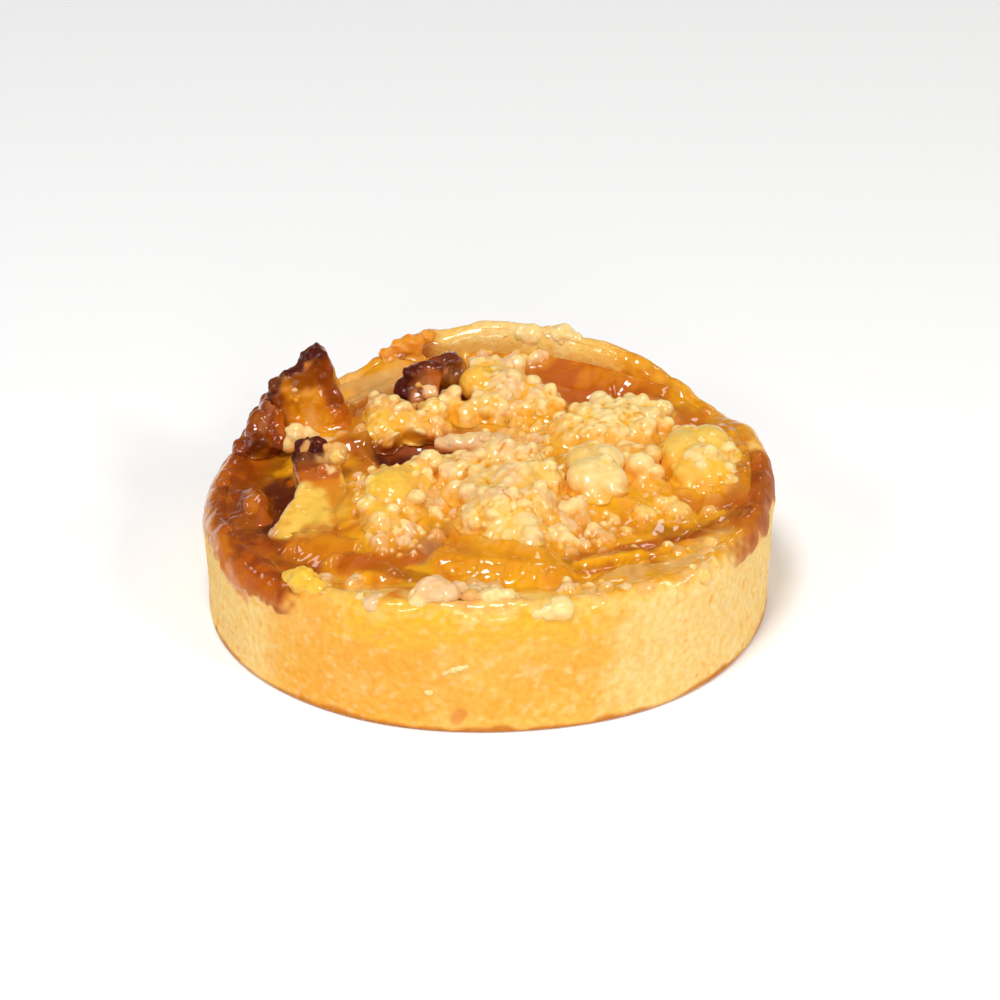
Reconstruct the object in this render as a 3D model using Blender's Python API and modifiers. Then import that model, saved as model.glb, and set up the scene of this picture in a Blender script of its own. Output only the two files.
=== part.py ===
"""Apple tart: a round shortcrust case with an uneven rim, filled with baked apple in caramel.

Pieces of apple stand in the filling, and clusters of crumble lie on it. Each is a solid of its own.
Origin: the middle of the base. Z is up, and -Y is the front, where the case's pale lip shows.
Tables of sizes are in millimetres. The model is in metres.
"""

import math
import random

import bmesh
import bpy
from mathutils import Euler, Matrix, Vector
from mathutils.bvhtree import BVHTree

MM = 0.001

# Case
OUTER_RADIUS = 45.0
BASE_RADIUS = 44.5
BASE_ROUND = 0.9
INNER_RADIUS = 40.0
FLOOR = 4.0
RIM_LEVEL = 22.0
RIM_DROP_INSIDE = 2.8
RIM_DROP_OUTSIDE = 4.6
RIM_LIFT_FROM = 8.0
RIM_STEPS = 6
BASE_STEPS = 2
BASE_SQUARENESS = 0.4
STEPS_ROUND = 60

# A ring of points halfway up the inner wall, and rings on the outer wall: height, and depth inside
# the outer radius
INNER_RING = 13.0
OUTER_RINGS = ((12.0, 0.1), (6.0, 0.3))

# Points further out than this follow the outer wall's waves: waves round, phase, depth
WAVED_FROM = 41.0
WALL_WAVES = ((3, 0.6, 0.15), (7, 2.0, 0.09))

# The height of the rim's crest round the case: degrees from +X towards +Y, and height
RIM_CREST = (
    (0, 22.2), (8, 23.2), (15, 23.6), (22, 22.4), (30, 21.0), (38, 21.2), (45, 22.8), (56, 24.6),
    (66, 25.6), (80, 26.8), (90, 27.0), (101, 25.8), (108, 25.0), (114, 22.6), (121, 20.6),
    (132, 19.4), (146, 18.0), (157, 17.0), (170, 17.0), (186, 17.4), (202, 18.4), (218, 18.6),
    (237, 20.4), (252, 21.7), (270, 22.3), (290, 21.8), (304, 21.3), (320, 20.6), (334, 20.4),
    (346, 21.2),
)

# Filling
FILLING_LEVEL = 20.0
FILLING_RINGS = 10
EDGE_BLEND_FROM = 30.0
EDGE_BELOW_RIM = 2.2

# Swells and hollows of the filling: x, y, reach in x, reach in y, height
SWELLS = (
    (0.0, -4.0, 24.0, 20.0, 1.6),
    (-33.0, 1.0, 7.5, 13.0, -4.5),
    (-11.0, 9.0, 6.5, 4.5, -4.5),
    (17.0, 29.0, 13.0, 8.0, -1.0),
    (4.0, -30.0, 16.0, 6.0, 0.4),
)

# Clearance between two pieces that touch
GAP = 0.3

# How far the cutter of the bed reaches beyond the case, and down from the rim, where it turns in
BED_MARGIN = 2.0
BED_DROP = 8.0

# Distances in metres within which points are one
WELD = 0.000002
TURN_WELD = 0.000001

# Crumble grains. GRAIN_SPREAD is 1 where they cover a lump's upper half, and 2 where they cover it all.
# A grain is GRAIN_BASE of its drawn radius, and GRAIN_GROWTH more for each millimetre of its lump's.
GRAIN_RADIUS = (0.8, 1.3)
GRAIN_BASE = 0.75
GRAIN_GROWTH = 0.1
GRAINS_PER_MM = 1.4
FEWEST_GRAINS = 3
GRAIN_SINK = 0.25
GRAIN_SPREAD = 1.15
GRAIN_SHIFT = 0.5
GOLDEN_ANGLE = math.pi * (3 - math.sqrt(5))

# Single crumbs: the radius over which one is rounder, and how far its middle stands above the filling
FINE_CRUMB = 1.7
CRUMB_RISE = 0.4

# Fineness: subdivisions of balls, segments of a rounded edge, and triangles left after thinning
CHUNK_DETAIL = 3
LUMP_DETAIL = 2
GRAIN_DETAIL = 1
ROUND_SEGMENTS = 2
TRIANGLES_PER_LUMP = 78
SLICE_TRIANGLES = 220

# Angles in radians: the bend under which two faces are one, and the bend that stays a sharp edge
FLAT_ANGLE = 0.01
SHARP_ANGLE = math.radians(50)

# Seeds of the crumbs' turns
RIM_SEED = 11
APPLE_SEED = 5
FILLING_SEED = 7

COLOURS = {
    "case": (0.90, 0.57, 0.17, 1),
    "caramel": (0.62, 0.19, 0.02, 1),
    "apple": (0.80, 0.40, 0.06, 1),
    "crumble": (0.93, 0.60, 0.18, 1),
}
ROUGHNESS = {"case": 0.6, "caramel": 0.35, "apple": 0.35, "crumble": 0.6}

# Standing and lying slices of apple. Outline in the slice's own plane, measured from its place:
# name, place, thickness, rounding, lean back in degrees, turn in degrees, outline
SLICES = (
    ("apple_chunk_tall", (-27.9, 21.2, 15.4), 5.4, 1.0, 6, 4, (
        (0.9, 17.2), (-1.6, 15.2), (-2.6, 13.2), (-4.6, 11.6), (-6.4, 10.0), (-6.4, 7.6), (-5.4, 4.6),
        (-4.6, 0.6), (0.0, -2.5), (4.4, -2.0), (6.9, 1.6), (6.2, 5.0), (4.7, 9.0), (3.2, 12.6),
        (2.4, 15.6),
    )),
    ("apple_wedge_left", (-27.2, -7.2, 19.4), 4.6, 0.9, 78, 0, (
        (-2.4, 11.4), (0.2, 13.4), (3.0, 12.0), (4.8, 6.0), (5.8, -1.0), (5.8, -8.0), (3.4, -10.6),
        (-1.0, -10.2), (-5.8, -8.0), (-4.4, -3.9), (-2.8, -0.4), (-1.8, 3.2), (-3.2, 8.0),
    )),
    ("apple_slice_back", (-11.2, 22.8, 20.0), 4.4, 0.8, 14, -8, (
        (-3.2, 3.4), (-3.0, 5.6), (-1.6, 7.6), (0.4, 8.6), (2.6, 8.8), (3.6, 7.0), (3.4, 2.0),
        (2.4, -1.8), (-2.2, -1.8),
    )),
    ("apple_slice_clear", (-5.8, 26.6, 20.0), 2.6, 0.7, 20, 0, (
        (-3.2, 6.0), (-2.0, 8.0), (0.0, 8.8), (2.0, 7.8), (2.8, 5.4), (2.6, -1.6), (-3.0, -1.6),
    )),
    ("apple_slice_front", (2.0, -28.6, 20.6), 2.8, 0.7, 88, 0, (
        (-11.0, 1.2), (-8.0, 3.4), (-3.5, 4.0), (3.0, 2.6), (8.0, 1.6), (10.6, -0.8), (7.5, -3.2),
        (0.5, -3.8), (-6.5, -2.6),
    )),
)

# Rounded pieces of apple: name, place, half sizes, turn in degrees
CHUNKS = (
    ("apple_flake", (-2.6, 9.8, 21.6), (5.4, 2.0, 1.4), -3),
    ("apple_lump_pool", (-36.0, -3.0, 16.2), (2.6, 6.4, 2.6), 8),
    ("apple_strip_rim", (-34.9, 18.4, 19.8), (2.9, 6.4, 4.4), -26),
)

# Clusters of crumble. Each lump: x, y, radius, height of its middle above the filling
CRUMBLE = (
    ("crumble_back", (
        (2.8, 24.4, 4.0, 3.0), (1.1, 19.6, 3.4, 1.7), (8.2, 22.0, 3.5, 1.6), (3.8, 28.4, 2.2, 5.2),
        (2.4, 27.7, 2.7, 4.0), (-1.8, 28.4, 1.7, 5.6), (0.4, 28.8, 1.7, 5.4), (-1.5, 24.6, 2.7, 3.8),
        (-6.2, 21.4, 2.4, 2.2), (-2.8, 19.0, 2.6, 1.2), (5.2, 18.8, 2.6, 1.2), (10.4, 20.0, 2.4, 0.9),
        (6.0, 25.4, 3.1, 2.2),
    )),
    ("crumble_left_mid", (
        (-16.4, 19.0, 3.0, 2.0), (-14.2, 17.4, 2.9, 1.8), (-16.4, 14.7, 2.6, 1.2), (-15.4, 12.2, 2.0, 1.2),
        (-11.8, 15.3, 2.8, 1.2), (-8.6, 15.2, 2.1, 0.9), (-8.6, 18.0, 2.4, 1.6),
    )),
    ("crumble_left_front", (
        (-15.4, -6.2, 3.1, 2.4), (-15.2, -3.8, 1.8, 3.4), (-15.4, -10.6, 3.7, 1.6), (-15.8, -17.3, 3.2, 0.7),
        (-12.5, -8.0, 3.0, 2.0), (-12.4, -4.8, 2.1, 2.6), (-12.2, -13.7, 3.0, 1.0), (-10.2, -3.8, 1.8, 3.0),
        (-10.2, -6.2, 2.0, 1.8), (-16.3, -14.0, 2.7, 1.0),
    )),
    ("crumble_centre", (
        (2.0, -1.2, 3.7, 2.2), (5.3, -2.4, 3.5, 2.2), (8.0, -7.2, 3.8, 1.6), (0.0, -9.8, 3.6, 1.8),
        (2.2, -17.6, 4.5, 2.0), (-1.3, -18.0, 3.0, 1.4), (6.6, -15.4, 4.0, 1.8), (2.0, -21.8, 2.6, 1.4),
        (5.6, -22.2, 2.8, 1.4), (-5.0, -5.0, 3.0, 1.4), (-2.6, -3.0, 3.0, 1.8), (3.9, -11.0, 4.4, 2.2),
        (-4.2, -9.6, 2.4, 1.0), (-0.6, -14.0, 3.2, 1.6), (-6.8, -1.6, 1.8, 1.6),
    )),
    ("crumble_right_back", (
        (12.9, 13.6, 2.7, 1.2), (16.0, 16.4, 3.0, 1.5), (19.3, 13.6, 3.4, 1.5), (22.0, 16.2, 3.1, 1.4),
        (25.2, 16.0, 3.0, 1.4), (27.6, 14.4, 2.2, 1.0), (16.5, 9.6, 2.7, 1.0), (13.0, 9.6, 2.2, 0.8),
        (20.2, 9.4, 2.6, 0.9), (24.0, 11.6, 2.7, 1.0), (23.6, 20.4, 2.5, 2.0), (26.6, 20.2, 2.1, 1.8),
        (18.0, 20.4, 2.2, 2.2), (20.0, 18.6, 2.7, 1.8),
    )),
    ("crumble_pale", (
        (15.5, 0.5, 3.1, 2.0), (17.1, -4.0, 3.8, 1.8), (19.2, -5.9, 2.9, 1.2), (16.7, -9.0, 2.7, 1.2),
    )),
    ("crumble_mid_right", (
        (23.6, -0.5, 2.9, 1.4), (25.0, -3.0, 2.0, 0.8), (24.6, 3.2, 2.2, 0.9), (22.6, 5.0, 2.0, 0.9),
    )),
    ("crumble_large", (
        (31.5, 7.5, 3.6, 1.6), (34.4, 7.0, 3.5, 1.6), (36.6, 3.2, 3.0, 1.5), (33.3, 0.3, 4.0, 1.7),
        (30.0, 2.4, 2.9, 1.2), (36.4, -1.2, 2.6, 1.0), (33.2, -3.1, 2.4, 0.8), (31.3, 11.2, 2.0, 1.6),
        (34.4, 10.8, 1.9, 1.6),
    )),
)

# Single crumbs that lie on the filling: x, y, radius
CRUMBS_ON_FILLING = (
    (12.6, -12.6, 1.7), (14.6, -15.4, 1.5), (16.4, -18.0, 1.4), (12.4, -21.8, 1.6), (13.0, -25.0, 1.2),
    (19.6, -15.0, 1.2), (19.0, -20.4, 1.1), (17.8, -24.0, 1.0), (24.7, -13.8, 1.9), (29.6, -12.2, 2.5),
    (34.4, -11.6, 1.3), (-30.4, 13.0, 2.0), (-28.4, 14.4, 1.4), (-32.6, 14.6, 1.3), (-20.2, 14.0, 1.0),
    (-7.5, -20.0, 1.3), (-7.6, -14.8, 1.3), (-2.0, -34.6, 1.3), (1.2, -35.0, 1.3),
)

# Crumbs baked on to the rim: x, y, z, radius
CRUMBS_ON_RIM = (
    (-8.2, -40.5, 22.9, 2.6), (-6.0, -40.9, 22.5, 2.0), (-9.8, -41.2, 21.6, 2.0),
    (0.7, -41.4, 22.2, 2.0), (-2.4, -41.6, 22.0, 1.4), (3.2, -41.0, 22.4, 1.2),
    (11.2, -42.2, 20.8, 2.0), (9.2, -42.8, 20.4, 1.4), (7.4, -43.1, 20.2, 1.0),
    (28.6, -32.4, 20.0, 2.2), (26.0, -34.0, 20.6, 1.7), (34.0, -26.6, 19.4, 2.0),
    (-27.8, -32.0, 19.7, 2.3), (-25.6, -33.8, 19.5, 1.8), (-33.6, -28.8, 16.6, 1.2),
    (-16.8, -39.6, 20.9, 1.8),
    (6.8, 41.6, 25.4, 1.9), (11.6, 40.8, 25.2, 2.4), (13.6, 39.6, 23.6, 1.8),
    (-12.4, 40.2, 24.4, 2.2), (-14.4, 39.6, 23.8, 1.7), (-9.8, 41.0, 25.0, 1.7),
)

# Crumbs baked on to slices of apple: slice, x, y, z, radius
CRUMBS_ON_APPLE = (
    ("apple_wedge_left", -23.6, 1.4, 24.0, 1.8),
    ("apple_wedge_left", -25.6, -2.4, 23.0, 1.2),
    ("apple_wedge_left", -27.8, 4.2, 24.2, 1.5),
    ("apple_chunk_tall", -30.4, 18.4, 24.6, 0.9),
    ("apple_slice_back", -8.4, 20.0, 22.8, 1.6),
)


def smooth_step(value):
    """Eases a value that runs from 0 to 1."""
    value = min(max(value, 0.0), 1.0)
    return value * value * (3 - 2 * value)


def rim_height(angle):
    """The height of the rim's crest in millimetres at an angle in radians."""
    degrees = math.degrees(angle) % 360
    first = RIM_CREST[0]
    stations = RIM_CREST + ((first[0] + 360, first[1]),)
    for (start, low), (end, high) in zip(stations, stations[1:]):
        if start <= degrees <= end:
            return low + (high - low) * smooth_step((degrees - start) / (end - start))
    return RIM_LEVEL


def filling_height(x, y):
    """The height of the filling in millimetres at a place in millimetres."""
    height = FILLING_LEVEL
    for centre_x, centre_y, reach_x, reach_y, swell in SWELLS:
        height += swell * math.exp(-((x - centre_x) / reach_x) ** 2 - ((y - centre_y) / reach_y) ** 2)
    edge = min(height, rim_height(math.atan2(y, x)) - EDGE_BELOW_RIM)
    blend = smooth_step((math.hypot(x, y) - EDGE_BLEND_FROM) / (INNER_RADIUS - EDGE_BLEND_FROM))
    return height + (edge - height) * blend


def rim_section(crest, grow=0.0):
    """The rim's rounded top from its inside to its outside, as (radius, height) pairs."""
    middle = (INNER_RADIUS + OUTER_RADIUS) / 2
    half = (OUTER_RADIUS - INNER_RADIUS) / 2 + grow
    points = []
    for step in range(RIM_STEPS + 1):
        angle = math.pi * (1 - step / RIM_STEPS)
        drop = RIM_DROP_INSIDE if angle > math.pi / 2 else RIM_DROP_OUTSIDE
        points.append((middle + half * math.cos(angle), crest + grow - drop * (1 - math.sin(angle))))
    return points


def new_collection(name):
    """Makes a collection in the scene."""
    collection = bpy.data.collections.new(name)
    bpy.context.scene.collection.children.link(collection)
    return collection


def new_object(name, mesh, collection):
    """Makes an object of a mesh in a collection."""
    obj = bpy.data.objects.new(name, mesh)
    collection.objects.link(obj)
    return obj


def apply_modifiers(obj):
    """Replaces an object's mesh with what its modifiers make of it, and removes them."""
    graph = bpy.context.evaluated_depsgraph_get()
    made = bpy.data.meshes.new_from_object(obj.evaluated_get(graph))
    obj.modifiers.clear()
    old = obj.data
    obj.data = made
    bpy.data.meshes.remove(old)


def remove_objects(objects):
    """Removes objects and their data."""
    for obj in list(objects):
        bpy.data.objects.remove(obj, do_unlink=True)


def turned(name, profile, collection):
    """Turns a profile of (radius, height) pairs in millimetres about Z."""
    outline = bmesh.new()
    points = [outline.verts.new((radius * MM, 0, height * MM)) for radius, height in profile]
    for start, end in zip(points, points[1:]):
        outline.edges.new((start, end))
    mesh = bpy.data.meshes.new(name)
    outline.to_mesh(mesh)
    outline.free()
    obj = new_object(name, mesh, collection)
    screw = obj.modifiers.new("Turn", "SCREW")
    screw.axis = "Z"
    screw.steps = STEPS_ROUND
    screw.render_steps = STEPS_ROUND
    screw.use_merge_vertices = True
    screw.merge_threshold = TURN_WELD
    apply_modifiers(obj)
    return obj


def ball(name, place, half_sizes, detail, turn, collection):
    """An icosphere stretched to its half sizes, all in millimetres, and turned."""
    shape = bmesh.new()
    bmesh.ops.create_icosphere(shape, subdivisions=detail, radius=MM)
    stretch = Matrix.Diagonal(Vector(half_sizes).to_4d())
    where = Matrix.Translation(Vector(place) * MM)
    shape.transform(where @ turn.to_matrix().to_4x4() @ stretch)
    mesh = bpy.data.meshes.new(name)
    shape.to_mesh(mesh)
    shape.free()
    return new_object(name, mesh, collection)


def random_turn(draw):
    """A turn about all three axes."""
    return Euler((draw.uniform(0, math.tau), draw.uniform(0, math.tau), draw.uniform(0, math.tau)))


def combine(obj, others, operation):
    """Joins other objects to this one, or cuts them out of it, and removes them.

    EXACT leaves open edges in a heap of this many balls, so the solver is MANIFOLD.
    """
    if not others:
        return
    tools = bpy.data.collections.new("tools")
    for other in others:
        tools.objects.link(other)
    boolean = obj.modifiers.new(operation.title(), "BOOLEAN")
    boolean.operand_type = "COLLECTION"
    boolean.collection = tools
    boolean.operation = operation
    boolean.solver = "MANIFOLD"
    apply_modifiers(obj)
    remove_objects(others)
    bpy.data.collections.remove(tools)


def keep_largest_part(obj):
    """Drops loose scraps, so that one body is left."""
    shape = bmesh.new()
    shape.from_mesh(obj.data)
    unseen = set(shape.verts)
    parts = []
    while unseen:
        part = set()
        edge = [unseen.pop()]
        while edge:
            vert = edge.pop()
            part.add(vert)
            for link in vert.link_edges:
                other = link.other_vert(vert)
                if other in unseen:
                    unseen.discard(other)
                    edge.append(other)
        parts.append(part)
    largest = max(parts, key=len)
    scraps = [vert for vert in shape.verts if vert not in largest]
    bmesh.ops.delete(shape, geom=scraps, context="VERTS")
    bmesh.ops.triangulate(shape, faces=shape.faces)
    shape.to_mesh(obj.data)
    shape.free()


def thin_out(obj, limit):
    """Thins a mesh out to about a number of triangles."""
    count = len(obj.data.polygons)
    if count > limit:
        decimate = obj.modifiers.new("Thin", "DECIMATE")
        decimate.ratio = limit / count
        apply_modifiers(obj)


def shape_case(obj):
    """Gives a turned case its uneven rim and wall."""
    for vert in obj.data.vertices:
        x, y, z = vert.co / MM
        angle = math.atan2(y, x)
        lift = smooth_step((z - RIM_LIFT_FROM) / (RIM_LEVEL - RIM_LIFT_FROM))
        vert.co.z += lift * (rim_height(angle) - RIM_LEVEL) * MM
        if math.hypot(x, y) > WAVED_FROM:
            wave = sum(depth * math.sin(waves * angle + phase) for waves, phase, depth in WALL_WAVES)
            square = -BASE_SQUARENESS * math.cos(4 * angle) * (1 - lift)
            scale = 1 + (wave + square) / OUTER_RADIUS
            vert.co.x *= scale
            vert.co.y *= scale


def case_profile():
    """The case's section: out over its floor, up its inner wall, over the rim, down and in at the base."""
    points = [(0, FLOOR), (INNER_RADIUS, FLOOR), (INNER_RADIUS, INNER_RING)]
    points += rim_section(RIM_LEVEL)
    points += [(OUTER_RADIUS - depth, height) for height, depth in OUTER_RINGS]
    for step in range(BASE_STEPS + 1):
        angle = math.pi / 2 * step / BASE_STEPS
        reach = BASE_RADIUS - BASE_ROUND + BASE_ROUND * math.cos(angle)
        points.append((reach, BASE_ROUND - BASE_ROUND * math.sin(angle)))
    return points + [(0, 0)]


def make_case(collection):
    """The shortcrust case, with the crumbs baked on to its rim."""
    case = turned("crust", case_profile(), collection)
    shape_case(case)
    add_crumbs(case, [((x, y, z), radius) for x, y, z, radius in CRUMBS_ON_RIM], [], RIM_SEED)
    return case


def filling_profile():
    """The filling's section, flat on top."""
    reach = INNER_RADIUS - GAP
    points = [(reach * ring / FILLING_RINGS, FILLING_LEVEL) for ring in range(FILLING_RINGS + 1)]
    return points + [(reach, FLOOR + GAP), (0, FLOOR + GAP)]


def make_filling(collection):
    """Apple in caramel: one solid that fills the case, with swells and hollows on top."""
    filling = turned("filling", filling_profile(), collection)
    for vert in filling.data.vertices:
        x, y, z = vert.co / MM
        if z > (FLOOR + FILLING_LEVEL) / 2:
            vert.co.z = filling_height(x, y) * MM
    return filling


def make_bed_cutter(collection):
    """All that lies under the toppings: the filling and the case, larger by the gap."""
    rim = rim_section(RIM_LEVEL, GAP)
    rings = [(INNER_RADIUS - GAP) * ring / FILLING_RINGS for ring in range(FILLING_RINGS + 1)]
    profile = [(radius, FILLING_LEVEL + GAP) for radius in rings]
    profile += [(radius, height) for radius, height in rim if height > FILLING_LEVEL + GAP]
    reach = OUTER_RADIUS + BED_MARGIN
    profile += [(reach, RIM_LEVEL - BED_DROP), (reach, 0), (0, 0)]
    cutter = turned("bed", profile, collection)
    for vert in cutter.data.vertices:
        x, y, z = vert.co / MM
        if z < FLOOR:
            continue
        if math.hypot(x, y) < INNER_RADIUS - GAP / 2:
            vert.co.z = (filling_height(x, y) + GAP) * MM
        else:
            vert.co.z += (rim_height(math.atan2(y, x)) - RIM_LEVEL) * MM
    return cutter


def make_slice(entry, collection, grow=0.0):
    """A slice of apple: a flat outline given a thickness, rounded, then leant back and turned."""
    name, place, thickness, rounding, lean, turn, outline = entry
    curve = bpy.data.curves.new(name, "CURVE")
    curve.dimensions = "2D"
    curve.fill_mode = "BOTH"
    curve.extrude = (thickness / 2 + grow) * MM
    curve.offset = grow * MM
    spline = curve.splines.new("POLY")
    spline.points.add(len(outline) - 1)
    for point, (across, up) in zip(spline.points, outline):
        point.co = (across * MM, up * MM, 0, 1)
    spline.use_cyclic_u = True
    drawn = new_object(name, curve, collection)
    graph = bpy.context.evaluated_depsgraph_get()
    mesh = bpy.data.meshes.new_from_object(drawn.evaluated_get(graph))
    bpy.data.objects.remove(drawn, do_unlink=True)
    shape = bmesh.new()
    shape.from_mesh(mesh)
    bmesh.ops.remove_doubles(shape, verts=shape.verts, dist=WELD)
    bmesh.ops.dissolve_limit(shape, angle_limit=FLAT_ANGLE, verts=shape.verts, edges=shape.edges)
    bmesh.ops.recalc_face_normals(shape, faces=shape.faces)
    stance = Euler((math.radians(90 - lean), 0, math.radians(turn)))
    shape.transform(Matrix.Translation(Vector(place) * MM) @ stance.to_matrix().to_4x4())
    shape.to_mesh(mesh)
    shape.free()
    piece = new_object(name, mesh, collection)
    if not grow:
        bevel = piece.modifiers.new("Round", "BEVEL")
        bevel.width = rounding * MM
        bevel.segments = ROUND_SEGMENTS
        bevel.limit_method = "ANGLE"
        apply_modifiers(piece)
    return piece


def make_chunk(entry, collection, grow=0.0):
    """A rounded piece of apple."""
    name, place, half_sizes, turn = entry
    sizes = [size + grow for size in half_sizes]
    return ball(name, place, sizes, CHUNK_DETAIL, Euler((0, 0, math.radians(turn))), collection)


def grain_places(lump, draw):
    """Where grains stick out of a lump: places and radii, spread evenly over its upper side."""
    x, y, radius, rise = lump
    z = filling_height(x, y) + rise
    count = max(FEWEST_GRAINS, round(GRAINS_PER_MM * radius))
    found = []
    for step in range(count):
        up = 1 - GRAIN_SPREAD * (step + 0.5) / count
        angle = GOLDEN_ANGLE * step + draw.uniform(-GRAIN_SHIFT, GRAIN_SHIFT)
        level = math.sqrt(1 - up * up)
        size = draw.uniform(*GRAIN_RADIUS) * (GRAIN_BASE + GRAIN_GROWTH * radius)
        reach = radius - size * GRAIN_SINK
        spot = (x + reach * level * math.cos(angle), y + reach * level * math.sin(angle), z + reach * up)
        found.append((spot, size))
    return found


def make_cluster(entry, collection, grow=0.0):
    """A cluster of crumble: lumps with grains on them, joined into one solid."""
    name, lumps = entry
    draw = random.Random(CRUMBLE.index(entry))
    balls = []
    for lump in lumps:
        x, y, radius, rise = lump
        place = (x, y, filling_height(x, y) + rise)
        balls.append(ball(name, place, (radius + grow,) * 3, LUMP_DETAIL, random_turn(draw), collection))
        for spot, size in grain_places(lump, draw):
            sizes = (size + grow,) * 3
            balls.append(ball(name, spot, sizes, GRAIN_DETAIL, random_turn(draw), collection))
    combine(balls[0], balls[1:], "UNION")
    return balls[0]


def bounds(obj):
    """The lowest and highest corner of an object's mesh."""
    places = [vert.co for vert in obj.data.vertices]
    low = Vector(min(place[axis] for place in places) for axis in range(3))
    high = Vector(max(place[axis] for place in places) for axis in range(3))
    return low, high


def boxes_meet(one, other):
    """Whether the boxes round two objects meet."""
    low_one, high_one = bounds(one)
    low_other, high_other = bounds(other)
    return all(low_one[i] < high_other[i] and low_other[i] < high_one[i] for i in range(3))


def copy_of(obj, collection):
    """A copy of an object and its mesh."""
    return new_object(obj.name + "_cut", obj.data.copy(), collection)


def clear_of(place, radius, trees):
    """Whether a crumb keeps its gap to every tree of faces."""
    for tree in trees:
        spot, normal, _, distance = tree.find_nearest(place)
        if spot is None:
            continue
        inside = (place - spot).dot(normal) < 0
        if inside or distance < (radius + GAP) * MM:
            return False
    return True


def tree_of(obj):
    """The faces of an object, for distances."""
    shape = bmesh.new()
    shape.from_mesh(obj.data)
    tree = BVHTree.FromBMesh(shape)
    shape.free()
    return tree


def make_toppings(collection, cutters):
    """Every slice, chunk and cluster, cut back from the bed and from those laid before it."""
    laid = [(make_slice, entry, SLICE_TRIANGLES) for entry in SLICES]
    laid += [(make_chunk, entry, SLICE_TRIANGLES) for entry in CHUNKS]
    laid += [(make_cluster, entry, TRIANGLES_PER_LUMP * len(entry[1])) for entry in CRUMBLE]
    in_the_way = [make_bed_cutter(cutters)]
    toppings = {}
    for make, entry, triangles in laid:
        piece = make(entry, collection)
        piece.name = entry[0]
        met = [copy_of(other, cutters) for other in in_the_way if boxes_meet(piece, other)]
        combine(piece, met, "DIFFERENCE")
        keep_largest_part(piece)
        thin_out(piece, triangles)
        in_the_way.append(make(entry, cutters, GAP))
        toppings[entry[0]] = piece
    remove_objects(in_the_way)
    return toppings


def add_crumbs(obj, crumbs, trees, seed):
    """Joins single crumbs to the piece that they lie on, leaving out any that crowd another piece."""
    draw = random.Random(seed)
    balls = []
    for place, radius in crumbs:
        turn = random_turn(draw)
        detail = LUMP_DETAIL if radius > FINE_CRUMB else GRAIN_DETAIL
        if clear_of(Vector(place) * MM, radius, trees):
            balls.append(ball("crumb", place, (radius,) * 3, detail, turn, obj.users_collection[0]))
    combine(obj, balls, "UNION")
    keep_largest_part(obj)


def finish(obj, colour):
    """Gives a piece its material and smooth shading."""
    material = bpy.data.materials.new(obj.name)
    material.use_nodes = True
    shader = material.node_tree.nodes["Principled BSDF"]
    shader.inputs["Base Color"].default_value = COLOURS[colour]
    shader.inputs["Roughness"].default_value = ROUGHNESS[colour]
    shader.inputs["Metallic"].default_value = 0.0
    obj.data.materials.clear()
    obj.data.materials.append(material)
    obj.data.shade_smooth()
    obj.data.set_sharp_from_angle(angle=SHARP_ANGLE)


def main():
    """Builds the tart."""
    remove_objects(bpy.data.objects)
    tart = new_collection("Apple tart")
    cutters = new_collection("Cutters")
    case = make_case(tart)
    filling = make_filling(tart)
    toppings = make_toppings(tart, cutters)
    bed = [tree_of(case), tree_of(filling)]
    for name, x, y, z, radius in CRUMBS_ON_APPLE:
        others = [tree_of(piece) for other, piece in toppings.items() if other != name]
        add_crumbs(toppings[name], [((x, y, z), radius)], others + bed, APPLE_SEED)
    trees = [tree_of(piece) for piece in toppings.values()] + [tree_of(case)]
    lying = []
    for x, y, radius in CRUMBS_ON_FILLING:
        lying.append(((x, y, filling_height(x, y) + CRUMB_RISE * radius), radius))
    add_crumbs(filling, lying, trees, FILLING_SEED)
    finish(case, "case")
    finish(filling, "caramel")
    for name, piece in toppings.items():
        finish(piece, "crumble" if name.startswith("crumble") else "apple")
    bpy.data.collections.remove(cutters)


if __name__ == "__main__":
    main()
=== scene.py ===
"""Dresses the apple tart: baked shortcrust, apple in caramel, and glazed crumble, on a pale stage.

Places and sizes are in millimetres, and turn into metres where a mesh is made.
Every piece carries two attributes that its material reads: its tint, and how wet with glaze it is.
"""

import itertools
import math

import bmesh
import bpy
import numpy as np
from bpy.props import FloatProperty, FloatVectorProperty, IntProperty, PointerProperty
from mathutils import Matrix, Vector
from mathutils.bvhtree import BVHTree


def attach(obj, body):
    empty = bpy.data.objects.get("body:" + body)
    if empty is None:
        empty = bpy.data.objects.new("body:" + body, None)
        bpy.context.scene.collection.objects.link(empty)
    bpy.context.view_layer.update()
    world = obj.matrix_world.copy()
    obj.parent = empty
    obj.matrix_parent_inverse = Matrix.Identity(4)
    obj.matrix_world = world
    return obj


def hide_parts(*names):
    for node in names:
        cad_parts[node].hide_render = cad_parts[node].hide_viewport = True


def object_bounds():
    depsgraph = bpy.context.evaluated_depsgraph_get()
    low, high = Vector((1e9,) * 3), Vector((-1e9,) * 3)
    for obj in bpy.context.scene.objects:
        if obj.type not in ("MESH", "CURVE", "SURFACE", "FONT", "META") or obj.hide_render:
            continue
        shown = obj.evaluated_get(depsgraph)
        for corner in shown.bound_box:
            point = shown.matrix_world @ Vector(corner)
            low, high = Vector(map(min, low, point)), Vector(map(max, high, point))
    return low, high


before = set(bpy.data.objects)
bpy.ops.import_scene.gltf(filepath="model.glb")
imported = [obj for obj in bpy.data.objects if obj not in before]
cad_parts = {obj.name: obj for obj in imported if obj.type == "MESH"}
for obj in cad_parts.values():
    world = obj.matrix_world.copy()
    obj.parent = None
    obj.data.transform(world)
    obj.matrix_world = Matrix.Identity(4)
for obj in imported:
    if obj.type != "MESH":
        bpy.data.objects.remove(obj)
CAD_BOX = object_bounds()

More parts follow.
